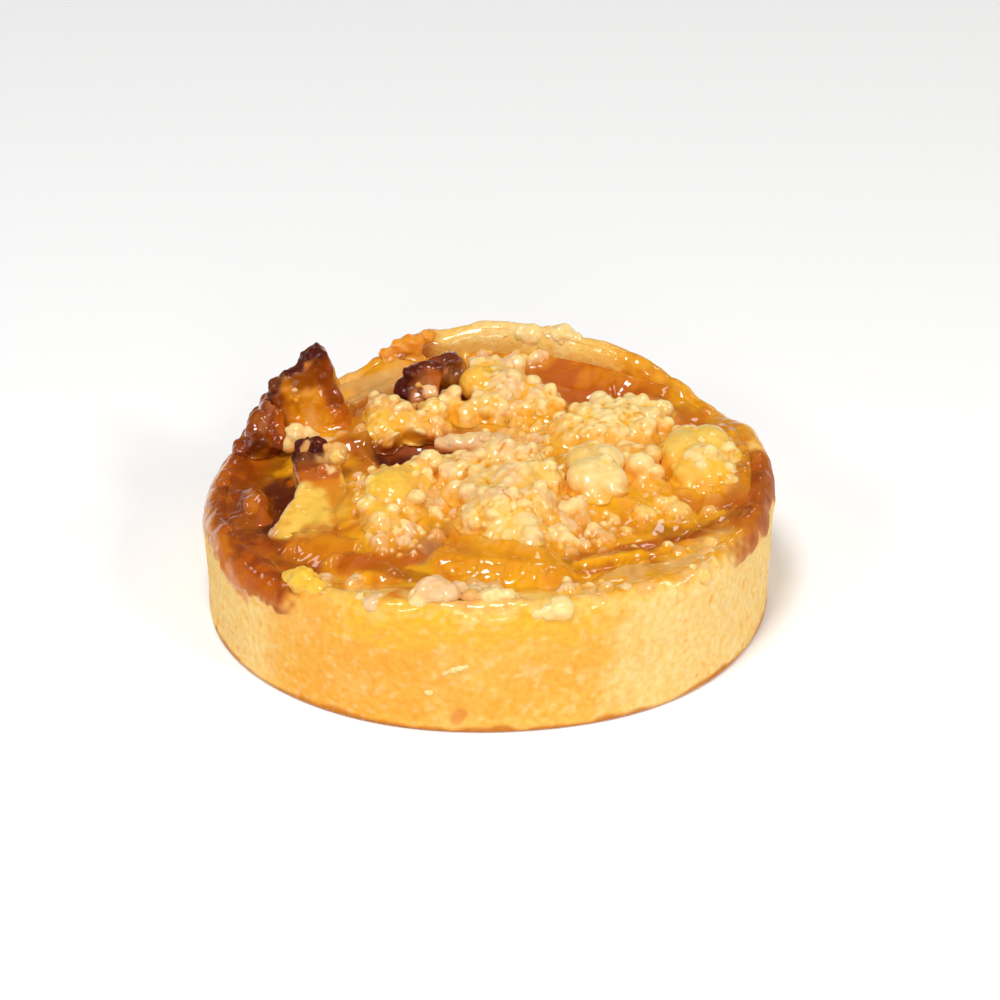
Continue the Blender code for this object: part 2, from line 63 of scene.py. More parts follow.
bl_info = {
    "name": "Apple tart",
    "version": (1, 0, 0),
    "blender": (4, 5, 0),
    "location": "3D View > Sidebar > Tart",
    "description": "Builds a glazed apple tart with crumble on its frame, and the stage round it",
    "category": "Add Mesh",
}

MM = 0.001
TINY = 1e-9
BODY = "root"

# Rays down on to a piece start at this height, in metres
RAY_START = 0.05

# The case, as in the frame: its walls, and the rounded rim between them
OUTER_RADIUS = 45.0
BASE_RADIUS = 44.5
BASE_ROUND = 0.9
INNER_RADIUS = 40.0
FLOOR = 4.0
RIM_LEVEL = 22.0
RIM_DROP_INSIDE = 2.8
RIM_DROP_OUTSIDE = 4.6
RIM_LIFT_FROM = 8.0

# The outer wall's section: height, and how far inside the outer radius it stands
OUTER_RINGS = ((0.9, 0.5), (6.0, 0.3), (12.0, 0.1), (17.4, 0.0))

# How the case strays from round: waves round it, phase, and depth. They start outside a radius
WALL_WAVES = ((3, 0.6, 0.15), (7, 2.0, 0.09))
WAVES_FROM = 41.0
BASE_SQUARENESS = 0.4

# Rings of points: radii under the base, how many on each stretch, and the height where the inner ones end
BASE_RINGS = (30.0, 40.0, 42.4)
CORNER_RINGS = 5
WALL_RINGS = 60
RIM_RINGS = 46
INSIDE_RINGS = 14
INSIDE_END = 10.0

# The height of the rim's crest round the case: degrees from +X towards +Y, and height
RIM_CREST = (
    (0, 22.2), (8, 23.2), (15, 23.6), (22, 22.4), (30, 21.0), (38, 21.2), (45, 22.8), (56, 24.6),
    (66, 25.6), (80, 26.8), (90, 27.0), (101, 25.8), (108, 25.0), (114, 22.6), (121, 20.6), (132, 19.4),
    (146, 18.0), (157, 17.0), (170, 17.0), (186, 17.4), (202, 18.4), (218, 18.6), (237, 20.4), (252, 21.7),
    (270, 22.3), (290, 21.8), (304, 21.3), (320, 20.6), (334, 20.4), (346, 21.2), (360, 22.2),
)

# The filling, as in the frame. Swells: x, y, reach in x, reach in y, height
FILLING_LEVEL = 20.0
FILLING_BOTTOM = 4.3
EDGE_BLEND_FROM = 30.0
EDGE_BELOW_RIM = 2.2
SWELLS = (
    (0.0, -4.0, 24.0, 20.0, 1.6), (-33.0, 1.0, 7.5, 13.0, -4.5), (-11.0, 9.0, 6.5, 4.5, -4.5),
    (17.0, 29.0, 13.0, 8.0, -1.0), (4.0, -30.0, 16.0, 6.0, 0.4),
)

# The filling's own edge: from which radius and how far it climbs, how far under the rim's crest it stops,
# and how far it reaches into the case's wall
EDGE_CLIMB_FROM = 34.0
EDGE_CLIMB = 2.4
EDGE_UNDER_CREST = 0.5
EDGE_OVER_RIM = 1.3

# Slices of apple under the glaze: x, y, half length, half width, turn in degrees, height, colour
BURIED_SLICES = (
    (2.5, -27.4, 13.0, 6.0, -14, 1.45, "apple_bright"), (-24.0, -22.0, 8.5, 3.4, -38, 0.9, "amber"),
    (-19.5, -28.0, 8.0, 2.6, -24, 0.9, "honey"), (-9.5, -22.5, 4.5, 2.2, 62, 0.6, "tan"),
    (23.0, -29.6, 9.5, 2.6, 31, 1.2, "apple_pale"), (29.5, -22.5, 6.5, 2.6, 40, 0.9, "honey"),
    (20.0, -25.2, 8.5, 1.7, 24, 0.9, "honey"), (35.5, -8.5, 7.0, 2.4, 74, 0.9, "honey"),
    (33.0, -17.0, 5.5, 2.2, 50, 0.8, "amber"), (30.5, 23.0, 9.0, 3.2, -50, 0.9, "amber"),
    (14.0, 33.0, 9.5, 3.4, -10, 0.8, "caramel"), (24.5, 28.5, 7.5, 2.8, -38, 0.8, "amber"),
    (-20.0, 28.5, 8.5, 3.0, 38, 1.2, "apple_pale"), (-21.5, 12.5, 5.5, 2.4, 18, 0.9, "amber"),
    (-21.5, -9.0, 8.5, 2.6, 82, 0.9, "honey"), (8.5, 18.0, 9.0, 2.0, -6, 0.9, "honey"),
    (24.0, -9.0, 7.5, 2.4, 10, 0.8, "honey"), (-31.0, -16.5, 6.0, 2.4, -48, 0.9, "caramel"),
    (10.5, 2.0, 6.5, 2.6, -56, 0.6, "honey"),
)

# Bubbles in the glaze: x, y, radius
BUBBLES = (
    (22.5, 34.2, 0.9), (24.4, 33.2, 0.6), (30.8, -17.6, 0.7), (28.4, -19.8, 0.5), (32.6, -20.2, 0.45),
    (35.4, -13.8, 0.5), (36.6, -10.6, 0.4), (-30.2, -20.4, 0.5), (-26.6, -27.0, 0.45), (20.6, -22.2, 0.5),
    (17.2, -21.4, 0.4), (9.4, -26.6, 0.45), (-12.6, -28.8, 0.5), (5.6, 8.4, 0.5), (8.4, 9.0, 0.4),
    (-34.6, 8.8, 0.6), (-31.4, 9.6, 0.45), (-29.6, 3.4, 0.5), (34.6, 15.4, 0.5), (16.4, 27.2, 0.45),
)

# Strokes of colour on the filling: start, end, radius, colour, strength
FILLING_STROKES = (
    # The first stroke: caramel along the back where the filling meets the wall, darker there partly as
    # painted shade
    ((4, 36), (26, 30), 6.5, "caramel", 0.9), ((29, 28), (38, 12), 5.5, "caramel", 0.75),
    ((16, 34), (24, 31), 2.4, "amber", 0.8), ((8, 3), (25, -9), 6.5, "honey", 0.7),
    ((27, 10), (38, -6), 4.0, "honey", 0.7), ((32, -5), (40, -9), 2.6, "amber", 0.9),
    ((13, -27), (24, -22), 1.5, "toffee", 0.6), ((24, -22), (36, -14.5), 1.7, "caramel", 0.85),
    ((28, -17), (40, -13), 3.0, "toffee", 0.65), ((14, -30.5), (19, -28.5), 1.1, "caramel", 0.7),
    ((-31, -25), (-16, -32), 4.6, "amber", 0.7), ((-27, -29), (-19, -31), 2.0, "honey", 0.8),
    ((-36, -17), (-27, -27), 3.0, "toffee", 0.6), ((-30, -20), (-20, -26), 1.6, "amber", 0.7),
    ((-18, -28), (-10, -32), 2.0, "toffee", 0.55), ((-17, -25), (-12, -22), 2.6, "caramel", 0.8),
    ((-8.4, -24), (-7.2, -18), 2.3, "molasses", 0.55), ((-10, -27), (-8, -22), 2.2, "tan", 0.7),
    ((-37, 14), (-35, -14), 5.5, "toffee", 0.8), ((-32, 5), (-30, -5), 3.4, "molasses", 0.95),
    ((-33, 0), (-32, -10), 4.6, "molasses", 1.0), ((-30.6, 5.6), (-29.6, 6.0), 1.2, "caramel", 0.9),
    ((-28, -15), (-23, -12), 3.0, "apple_yellow", 0.6), ((-21, 17), (-17, 27), 4.5, "caramel", 0.7),
    # The toffee stroke from (-17, 11) and the burnt one from (-16.5, 9.6) lie in the hollow between the
    # crumble at the left: dark caramel, deepened as painted shade
    ((-24, 12), (-18, 11), 3.6, "caramel", 0.8), ((-17, 11), (-4, 13), 4.4, "toffee", 0.95),
    ((-16.5, 9.6), (-11, 10.2), 2.2, "burnt", 1.0), ((-10, 10), (-4, 11), 2.4, "caramel", 0.7),
    ((-3, 12.5), (9, 12), 2.2, "caramel", 0.7), ((2, 13.5), (12, 10), 1.6, "toffee", 0.6),
    ((-16.6, -23.4), (-15.8, -23.4), 0.7, "burnt", 1.0), ((-28, 27), (-14, 34), 4.2, "apple_pale", 0.75),
    ((-21, -27.4), (-12, -26), 3.0, "caramel", 0.9), ((31, -8), (39, -9), 2.4, "caramel", 0.95),
    ((15, -26), (26, -20.5), 1.6, "caramel", 0.75), ((11, -36.5), (23, -35), 0.9, "caramel", 0.8),
)

# Bands of colour on the rim: from and to in degrees, reach outside and inside the crest, colour, strength
RIM_BANDS = (
    (185, 222, 30, 2, "pastry_pale", 0.75), (226, 262, 30, 0, "pastry_orange", 0.6),
    (296, 362, 30, 0, "pastry_pale", 0.85), (240, 292, 8, 0, "egg_wash", 0.8),
    (0, 400, -2.6, 14, "caramel", 0.9), (236, 334, 3.0, 3.2, "rim_cream", 0.85),
    (292, 330, 1.0, 5.0, "crumb_tan", 0.7), (262, 280, 1.2, 5.0, "crumb_tan", 0.5),
    (56, 104, 3.4, 5.5, "rim_cream", 0.9), (240, 262, 2.6, 3.6, "egg_wash", 0.6),
    (70, 96, 0.4, 3.0, "crumb_cream", 0.6), (8, 58, 0.6, 14, "caramel", 0.75),
    (6, 60, 3.4, 1.2, "honey", 0.55), (14, 30, 2.6, 0.6, "rim_cream", 0.7),
    (112, 142, 3.0, 4, "honey", 0.8), (104, 113, 2.4, 8, "caramel", 0.85),
    (138, 228, 4.6, 12, "caramel", 0.9), (198, 226, 6.4, 8, "caramel", 0.9),
    (160, 205, 4.6, 0.6, "amber", 0.6), (330, 368, 4.6, 10, "caramel", 0.9),
    (336, 362, 3.0, 4, "toffee", 0.45), (150, 205, -0.8, 12, "toffee", 0.6),
)
BAND_FADE = 1.2
BAND_EDGE_DEGREES = 12.0
BAND_WAVER_DEGREES = 6

# Bands in these colours lie on the pastry as a coat of caramel this thick
CARAMELS = ("caramel", "toffee", "molasses")
CARAMEL_THICKNESS = 0.3

# Strokes of colour on the wall: start, end, radius, colour, strength
WALL_STROKES = (
    ((-4.6, -44.5, 2.4), (-3.8, -44.5, 3.2), 1.2, "amber", 0.7),
    ((-42.4, -13, 0.2), (-38, -22.4, 0.2), 1.1, "edge_brown", 0.6),
    ((34, -28.6, 0.2), (39.5, -20, 0.2), 1.1, "edge_brown", 0.6),
    ((-39.5, -20.5, 15), (-37.0, -25, 13.5), 1.6, "amber", 0.85),
)

# A stroke is full up to this share of its radius, and fades out over the next
STROKE_SOLID = 0.5
STROKE_FADE = 0.7

# How far the wall's skin lies under the frame's, and where its egg wash is thick: from and to in degrees
WALL_SINK = 0.22
WASHED_DEGREES = (238, 290)

# The radii between which glaze runs over the line between filling and rim
MELT_FROM = 36.5
MELT_TO = 42.6

# How far the outline stays inside the box of the solids
BOX_GAP = 0.05

# Strokes in these colours make apple charred, or grainy as if covered in crumbs
CHARRED = ("burnt", "molasses")
GRAINY = ("crumb_cream", "crumb_tan", "crumb_yellow", "crumb_pink")

# How strong the lumps are on uneven pieces of apple, and what share of its relief a calm piece keeps
LUMPY = {
    "apple_chunk_tall": 0.45, "apple_slice_back": 0.45, "apple_lump_pool": 0.3, "apple_strip_rim": 0.8,
    "apple_slice_clear": 0.8, "apple_flake": 0.7,
}
CALM = {"apple_slice_front": 0.35}

# Slices whose edges sink: x, y, half length, half width, turn in degrees. Then how far they sink
SUNK_EDGES = {"apple_slice_front": (1.8, -28.5, 11.0, 4.2, -8)}
EDGE_SINK = 1.0

# Waves of relief, or of an edge that wavers: strength, size of the swells in millimetres, seed
WAVES = {
    "bump_swell": ((0.25, 3.4, 5),),
    "stroke_edge": ((0.28, 2.4, 31), (0.16, 0.9, 32)),
    "melt_edge": ((1, 3.0, 36), (0.5, 1.2, 37)),
    "band_edge": ((1, 3.0, 8), (0.5, 1.1, 9)),
    "base_edge": ((0.5, 2.6, 13), (0.7, 9.0, 47)),
    "slice_edge": ((0.16, 2.4, 26), (0.07, 0.9, 27)),
    "crumb_edge": ((0.25, 1.0, 51), (0.15, 0.6, 52)),
    "wall_swell": ((0.14, 9.0, 1), (0.08, 3.2, 2)),
    "wall_sand": ((0.08, 1.3, 3), (0.05, 0.7, 4)),
    "rim_crest": ((0.26, 3.6, 6), (0.14, 1.5, 7), (0.05, 0.8, 15)),
    "pale_spots": ((1, 1.1, 10), (0.4, 0.5, 11)),
    "caramel_dusk": ((1, 3.4, 17), (0.5, 1.2, 18)),
    "filling_ripples": ((0.22, 6.0, 21), (0.12, 2.6, 22), (0.04, 1.1, 23)),
    "bank_grain": ((1, 1.3, 29), (0.5, 0.7, 30)),
    "apple_skin": ((0.30, 3.0, 40), (0.14, 1.3, 50)),
    "apple_lumps": ((0.7, 2.2, 44), (0.3, 1.0, 45)),
    "char": ((0.42, 1.5, 60), (0.20, 0.7, 70)),
    "glaze_ripple": ((0.07, 1.1, 91), (0.03, 0.6, 92)),
}

# The studio's light: elevation in degrees, and brightness against the sky's own
SKY_BANDS = ((0, 0.70), (5, 0.50), (12, 0.07), (50, 0.07), (66, 0.36), (90, 0.36))

# The stage, in metres: where the camera and the lamps look, and half the floor's width
CAMERA_TARGET = (0.00203, 0, 0.0166)
LIT_PLACE = (0, 0, 0.02)
FLOOR_REACH = 3.0
FLOOR_ROUGHNESS = 0.9

# The studio's lamps: name, place in metres, width, power in watts, colour
LAMPS = (
    ("key", (-0.12, -0.30, 0.78), 0.24, 4.6, (1, 1, 1)),
    ("front_left", (-0.50, -0.58, 0.55), 0.15, 1.15, (1, 0.99, 0.97)),
    ("front_right", (0.52, -0.56, 0.55), 0.17, 1.9, (1, 0.99, 0.97)),
    ("front_low", (0.10, -1.10, 0.40), 0.28, 1.7, (1, 0.98, 0.95)),
    ("right", (0.72, 0.02, 0.36), 0.20, 1.1, (1, 0.98, 0.95)),
    ("left", (-0.66, 0.12, 0.40), 0.18, 0.5, (1, 0.97, 0.98)),
    ("behind", (0.16, 0.62, 0.62), 0.14, 0.25, (1, 1, 1)),
)

# Glaze that runs over the line between filling and rim: from and to in degrees, two colours, strength
MELTS = (
    (140, 234, "toffee", "caramel", 0.75), (232, 262, "rim_cream", "amber", 0.6),
    (256, 294, "crumb_tan", "rim_cream", 0.8), (288, 338, "apple_pale", "honey", 0.9),
    (338, 366, "toffee", "caramel", 0.6), (12, 58, "amber", "honey", 0.7),
    (112, 142, "apple_pale", "honey", 0.75),
)

# Crumbs baked on to the rim: x, y, z, radius, colour
RIM_CRUMBS = (
    (-8.2, -40.4, 22.5, 2.5, "crumb_pink"), (-6.0, -40.8, 22.2, 1.9, "crumb_pink"),
    (-9.8, -41.0, 21.3, 1.9, "crumb_cream"), (0.7, -41.2, 21.8, 1.8, "crumb_cream"),
    (-2.4, -41.0, 21.8, 1.4, "crumb_tan"), (3.2, -40.8, 22.0, 1.3, "crumb_cream"),
    (-4.4, -38.6, 21.4, 1.7, "crumb_pink"), (-1.4, -38.0, 21.2, 1.5, "crumb_pink"),
    (1.6, -38.4, 21.2, 1.4, "crumb_pink"), (11.2, -41.9, 20.5, 1.9, "crumb_cream"),
    (9.2, -42.5, 20.1, 1.4, "crumb_cream"), (7.4, -42.8, 20.0, 1.0, "crumb_cream"),
    (32.6, -28.6, 18.6, 1.6, "crumb_butter"), (34.4, -25.4, 18.7, 1.5, "crumb_butter"),
    (-27.8, -31.8, 19.3, 2.3, "crumb_yellow"), (-25.6, -33.6, 19.1, 1.8, "crumb_yellow"),
    (-29.4, -29.4, 18.8, 1.6, "crumb_yellow"), (-16.8, -39.2, 19.8, 1.8, "crumb_pink"),
    (-18.8, -38.0, 19.4, 1.5, "crumb_cream"), (5.2, 41.5, 25.1, 1.6, "crumb_cream"),
    (7.4, 41.2, 24.8, 1.9, "crumb_cream"), (9.7, 41.2, 25.0, 1.5, "crumb_butter"),
    (12.0, 41.0, 24.8, 2.2, "crumb_cream"), (14.4, 40.2, 24.0, 1.6, "crumb_cream"),
    (12.6, 40.2, 23.0, 1.5, "crumb_butter"), (6.6, 40.6, 23.4, 1.2, "crumb_butter"),
    (-12.4, 39.8, 23.6, 2.1, "crumb_orange"), (-14.4, 39.4, 23.5, 1.6, "crumb_orange"),
    (-9.8, 40.8, 24.7, 1.6, "crumb_orange"), (-16.2, 38.6, 22.6, 1.4, "crumb_orange"),
    (-11.6, 39.2, 22.6, 1.4, "crumb_orange"), (-8.6, -42.9, 6.8, 1.0, "crumb_cream"),
    (-6.3, -43.5, 10.4, 1.0, "crumb_cream"), (-5.0, -43.7, 10.9, 0.9, "crumb_cream"),
    (-3.9, -43.95, 11.4, 0.75, "crumb_cream"), (-3.0, -44.2, 11.8, 0.5, "crumb_cream"),
)

# Single crumbs on the filling: x, y, radius, colour
BED_CRUMBS = (
    (12.6, -12.6, 1.7, "crumb_cream"), (14.6, -15.4, 1.5, "crumb_tan"), (16.4, -18.0, 1.4, "crumb_cream"),
    (12.4, -21.8, 1.6, "crumb_cream"), (13.0, -25.0, 1.2, "crumb_tan"), (19.6, -15.0, 1.2, "crumb_butter"),
    (19.0, -20.4, 1.1, "crumb_tan"), (17.8, -24.0, 1.0, "crumb_tan"), (24.2, -12.8, 1.7, "crumb_butter"),
    (29.6, -11.4, 2.2, "crumb_butter"), (34.4, -10.9, 1.2, "crumb_tan"), (-20.2, 14.0, 1.0, "crumb_tan"),
    (-7.5, -20.0, 1.3, "crumb_tan"), (-7.6, -14.8, 1.3, "crumb_cream"), (-2.0, -34.6, 1.3, "crumb_tan"),
    (1.2, -35.0, 1.3, "crumb_tan"),
)

# Clusters of crumble: node, main and second colour, lobes tried to a square millimetre, radii, bump, fill
CLUSTERS = (
    ("crumble_back", "crumb_butter", "crumb_pink", 1.4, (0.6, 1.4), 0.9, 0.9),
    ("crumble_left_mid", "crumb_yellow", "crumb_tan", 0.9, (0.8, 2.0), 0.9, 0.9),
    ("crumble_left_front", "crumb_yellow", "crumb_tan", 0.6, (0.8, 2.2), 0.7, 1.0),
    ("crumble_centre", "crumb_butter", "crumb_pink", 1.2, (0.65, 1.7), 0.8, 1.0),
    ("crumble_right_back", "crumb_cream", "crumb_butter", 2.0, (0.5, 1.15), 1.0, 0.8),
    ("crumble_pale", "crumb_cream", "crumb_yellow", 0.5, (0.5, 1.0), 0.35, 1.0),
    ("crumble_mid_right", "crumb_cream", "crumb_tan", 1.0, (0.7, 1.5), 0.7, 0.9),
    ("crumble_large", "crumb_yellow", "crumb_cream", 0.25, (0.4, 0.8), 0.5, 1.0),
)

# Beads on a cluster: how close they lie and how deep they are sunk, as shares of their radii, how much
# rarer large ones are, and how far each ball is stretched
BEAD_SPACING = 0.72
BEAD_SINK = 0.70
BEAD_FEW_LARGE = 1.6
BALL_STRETCH = (0.86, 1.14)

# There are no beads where a face looks down more than this, or where a noise of this size is lower
UNDERSIDE = -0.25
SETTLED_SIZE = 5.0
SETTLED_BELOW = -0.12

# Bumps on bumps: size and depth of each kind, and how far and in what swells they are warped
BUMP_SIZES = ((2.7, 0.34), (1.3, 0.18), (0.7, 0.06))
BUMP_WARP = 1.0
BUMP_WARP_SIZE = 1.6
KNOB_STRAY = 0.42
KNOB_STEEPNESS = 1.6

# Rounds of evening out that tell fine hollows, those that glaze fills, and broad ones, and the share filled
FINE_ROUNDS = 8
GLAZE_ROUNDS = 36
BROAD_ROUNDS = 60
CREASE_FILL = 0.95

# The foot of a piece in the filling: where to look for it, how high it flares, and how far
FOOT_SEARCH = 4.0
FOOT_RISE = 0.9
FOOT_SPREAD = 0.8

# Smooth lumps on each cluster: place, half sizes, colour
SMOOTH_LUMPS = {
    "crumble_back": (
        ((-1.7, 24.8, 24.4), (2.9, 2.9, 2.9), "egg_wash"),
    ),
    "crumble_right_back": (
        ((17.9, 21.6, 23.0), (1.7, 1.7, 1.7), "crumb_cream"),
        ((28.2, 20.6, 22.0), (1.6, 1.6, 1.6), "crumb_cream"),
    ),
    "crumble_centre": (
        ((2.0, -21.0, 22.9), (2.3, 2.3, 2.2), "crumb_cream"),
        ((5.6, -21.2, 22.9), (2.6, 2.4, 2.4), "crumb_cream"),
    ),
    "crumble_pale": (
        ((15.9, -5.9, 23.4), (3.7, 4.8, 3.2), "crumb_cream"),
        ((18.9, -6.4, 23.2), (3.0, 3.8, 2.7), "crumb_cream"),
        ((14.9, -1.9, 24.0), (2.7, 3.2, 2.6), "crumb_butter"),
        ((18.4, -0.8, 23.6), (3.2, 3.8, 2.8), "crumb_cream"),
    ),
    "crumble_mid_right": (
        ((24.0, -1.2, 23.2), (2.3, 2.3, 2.2), "crumb_cream"),
    ),
    "crumble_large": (
        ((33.2, -1.8, 21.9), (4.4, 3.4, 2.6), "crumb_yellow"),
        ((31.0, 4.0, 23.2), (3.6, 4.8, 2.6), "crumb_yellow"),
        ((34.8, 6.2, 23.4), (3.4, 4.4, 2.5), "crumb_yellow"),
    ),
    "crumble_left_front": (
        ((-14.4, -9.6, 24.0), (3.6, 5.0, 2.7), "crumb_yellow"),
        ((-10.4, -4.4, 24.0), (1.3, 1.3, 1.6), "crumb_cream"),
    ),
}

# Where a cluster gives way to a hollow: place, radius, and how far its skin moves
DENTS = {
    "crumble_left_front": (
        ((-15.4, -3.6, 26.2), 5.0, (0.0, -1.0, -1.6)),
    ),
    "crumble_left_mid": (
        ((-12.6, 10.4, 19.0), 5.0, (0.0, 2.4, 1.2)),
    ),
}

# Strokes of glaze on clusters, and of painted shade where two clusters face the hollow between them: start,
# end, radius, colour, strength
CRUMBLE_STROKES = (
    # The next three strokes: dark caramel on the faces round the hollow at the left, deepened as painted
    # shade
    ((-19, -2.0, 22.6), (-11.5, -2.0, 23.0), 2.2, "toffee", 0.95),
    ((-18.5, 11, 19.0), (-8, 12, 19.0), 2.2, "toffee", 0.95),
    ((-9, 12, 20), (-5, 13, 20.5), 1.8, "caramel", 0.8),
    ((-4, 18.6, 21.4), (12, 18, 21.6), 2.4, "honey", 0.9), ((6, 24, 24), (11, 22, 23), 1.6, "honey", 0.6),
    ((28, 0, 20.6), (36, -6, 20.4), 1.5, "amber", 0.6),
    ((-20, -8, 20.6), (-18, -18, 20.8), 1.6, "amber", 0.7),
    ((-9.6, -12, 21), (-9, -18, 21.4), 1.2, "caramel", 0.6),
)

# Where small crumbs lie thick on the filling and the rim: x, y, reach in x and y, how many
CRUMB_ZONES = (
    (-8.5, -11.5, 3.5, 6.0, 60), (11.5, -6.0, 3.5, 9.0, 46), (20.5, 4.5, 8.0, 4.5, 50),
    (10.0, 13.0, 7.0, 4.5, 60), (12.0, -19.5, 9.0, 5.0, 60), (-12.0, 5.0, 4.0, 2.5, 8),
    (-14.0, -20.5, 5.0, 4.5, 50), (28.0, -10.5, 5.0, 2.4, 16), (-25.0, 8.0, 2.4, 2.0, 6),
    (8.0, 25.0, 5.0, 5.0, 40), (2.0, 12.0, 7.0, 2.5, 24), (-1.0, -37.6, 9.0, 2.2, 10),
    (-19.0, -3.0, 2.0, 7.0, 18), (31.0, 14.0, 4.0, 3.0, 14), (16.0, -36.0, 7.0, 3.0, 14),
    (33.0, -25.0, 4.0, 5.0, 10), (-22.0, -32.0, 6.0, 2.0, 8), (14.0, -14.0, 4.0, 6.0, 30),
    (-24.0, 14.0, 4.0, 2.0, 10), (4.0, 39.0, 9.0, 1.5, 22),
)
ZONE_COLOURS = ("crumb_cream", "crumb_pink", "crumb_butter", "crumb_tan", "crumb_pink")
CRUMBS_REACH = 43.2
CRUMB_FEW_LARGE = 2.2
CRUMB_SEED = 221

# A single crumb: the share of its radius that is sunk in the rim, its bumps, and the beads on it: how many
# to a millimetre of its radius, and how large against it
CRUMB_SINK = 0.55
CRUMB_BUMP = 0.5
BEADS_PER_MM = 7
BEAD_SHARE = (0.22, 0.44)

# Where the filling doesn't heap up round the crumble: x, y, radius
HOLLOWS = ((-12.5, 11.0, 4.5), (-9.0, 9.0, 3.5), (-34.0, 2.0, 7.0), (-7.5, -21.0, 1.5))

# How far from its pieces the filling still takes their distance into account
NEAR_REACH = 6.0

# Apple pieces: node, slot, main colour, and strokes: start, end, radius, colour, strength
APPLE_PIECES = (
    ("apple_chunk_tall", "apple_burnt", "amber", (
        ((-30, 18, 27), (-25, 18, 18), 3.4, "honey", 0.5),
        ((-29, 18, 26), (-27.5, 18, 20), 1.5, "apple_pale", 0.6),
        ((-24, 20, 24), (-22, 20, 16), 3.0, "caramel", 0.8),
        ((-34, 20, 24), (-33, 20, 15), 2.6, "toffee", 0.95),
        ((-26, 20, 31), (-24, 20, 25), 2.4, "toffee", 0.85),
        ((-30, 20, 28), (-26, 20, 29), 2.4, "toffee", 0.8),
        ((-26.5, 21, 33), (-31, 21, 29.6), 2.2, "burnt", 1.0),
        ((-31, 21, 29.2), (-34.8, 21, 26.0), 1.8, "burnt", 0.9),
        ((-27, 23.4, 33), (-33, 23.4, 28), 2.4, "burnt", 1.0),
        ((-34.4, 21, 25), (-33.8, 21, 21), 1.5, "molasses", 0.9),
    )),
    ("apple_wedge_left", "apple", "apple_yellow", (
        ((-24, -4, 22), (-22, -16, 21), 2.0, "amber", 0.85),
        ((-27, -16, 20), (-22, -17, 20), 2.0, "caramel", 0.7),
        ((-38, -9, 17), (-31, -14, 18), 2.2, "caramel", 0.75),
        ((-32, -4, 19), (-35, -8, 18), 1.4, "apple_pale", 0.6),
        ((-30, -5, 22), (-24, -4.6, 22.4), 1.6, "amber", 0.9),
        ((-30, -2.6, 22.6), (-24, -2.4, 23), 2.0, "caramel", 0.95),
        ((-30, -0.2, 23), (-25.5, 0, 23.4), 2.0, "toffee", 0.95),
        ((-30, 1.6, 23.4), (-26.5, 1.8, 24), 1.9, "molasses", 0.95),
        ((-30, 3.4, 23.6), (-25.5, 4.6, 25.2), 2.9, "burnt", 1.0),
        ((-30, 6, 22), (-24, 7.5, 24.5), 2.6, "burnt", 1.0),
        ((-25.6, 0.2, 25.2), (-22.8, 1.2, 24.6), 2.3, "crumb_tan", 1.0),
        ((-29.4, 2.6, 24.4), (-28.4, 3.2, 24.8), 0.9, "crumb_tan", 0.9),
        ((-24.6, -2.2, 23.2), (-24.0, -2.0, 23.6), 1.0, "crumb_cream", 0.95),
        ((-32.6, -14, 19), (-29.0, -5.4, 22), 1.0, "crumb_pink", 0.9),
        ((-28.6, -7, 21.8), (-27, -12, 20.8), 2.6, "apple_yellow", 0.7),
    )),
    ("apple_slice_back", "apple_burnt", "toffee", (
        ((-12, 21.5, 23), (-9, 21.5, 26), 2.2, "tan", 0.85),
        ((-8.5, 22, 28), (-7, 22, 24), 1.2, "caramel", 0.7),
        ((-14.6, 22, 22), (-13.4, 22, 28), 2.1, "burnt", 1.0),
        ((-13.4, 23, 28), (-10, 23, 30), 1.5, "burnt", 0.95),
        ((-10, 23, 29.6), (-7.4, 23, 28.6), 1.1, "molasses", 0.9),
    )),
    ("apple_slice_clear", "apple", "toffee", (
        ((-9, 27, 26), (-4, 27, 28.6), 1.4, "molasses", 0.8),
        ((-7, 26, 25.6), (-4, 27, 25.4), 1.3, "tan", 0.7),
    )),
    ("apple_slice_front", "apple", "apple_bright", (
        ((-10, -28, 21), (-6, -27, 21), 1.6, "honey", 0.7),
        ((10, -31, 21), (13, -30, 21), 1.6, "honey", 0.7),
    )),
    ("apple_flake", "apple", "crumb_tan", (
        ((-8, 9.6, 22.2), (2.8, 9.8, 22.6), 2.6, "crumb_pink", 0.9),
        ((-5, 9.4, 23.0), (2.6, 9.6, 23.2), 1.0, "crumb_cream", 0.7),
        ((-8, 9, 20.8), (2, 9, 20.8), 0.8, "caramel", 0.7),
    )),
    ("apple_lump_pool", "apple_caramel", "caramel", (
        ((-37, -8, 17.6), (-36, 2, 17.6), 2.4, "toffee", 0.5),
        ((-40, -8, 17), (-38, 3, 17), 1.8, "toffee", 0.8),
        ((-34, 0, 17), (-34, -6, 17), 1.4, "toffee", 0.8),
        ((-36.6, -1, 18.4), (-36.6, -6, 18.4), 1.2, "amber", 0.5),
    )),
    ("apple_strip_rim", "apple_caramel", "toffee", (
        ((-39, 22, 21), (-36, 12, 19), 1.8, "molasses", 0.8),
        ((-33, 19, 23), (-31, 13, 20), 1.4, "caramel", 0.9),
        ((-35.5, 14, 22), (-34, 20, 24), 0.9, "tan", 0.5),
    )),
)

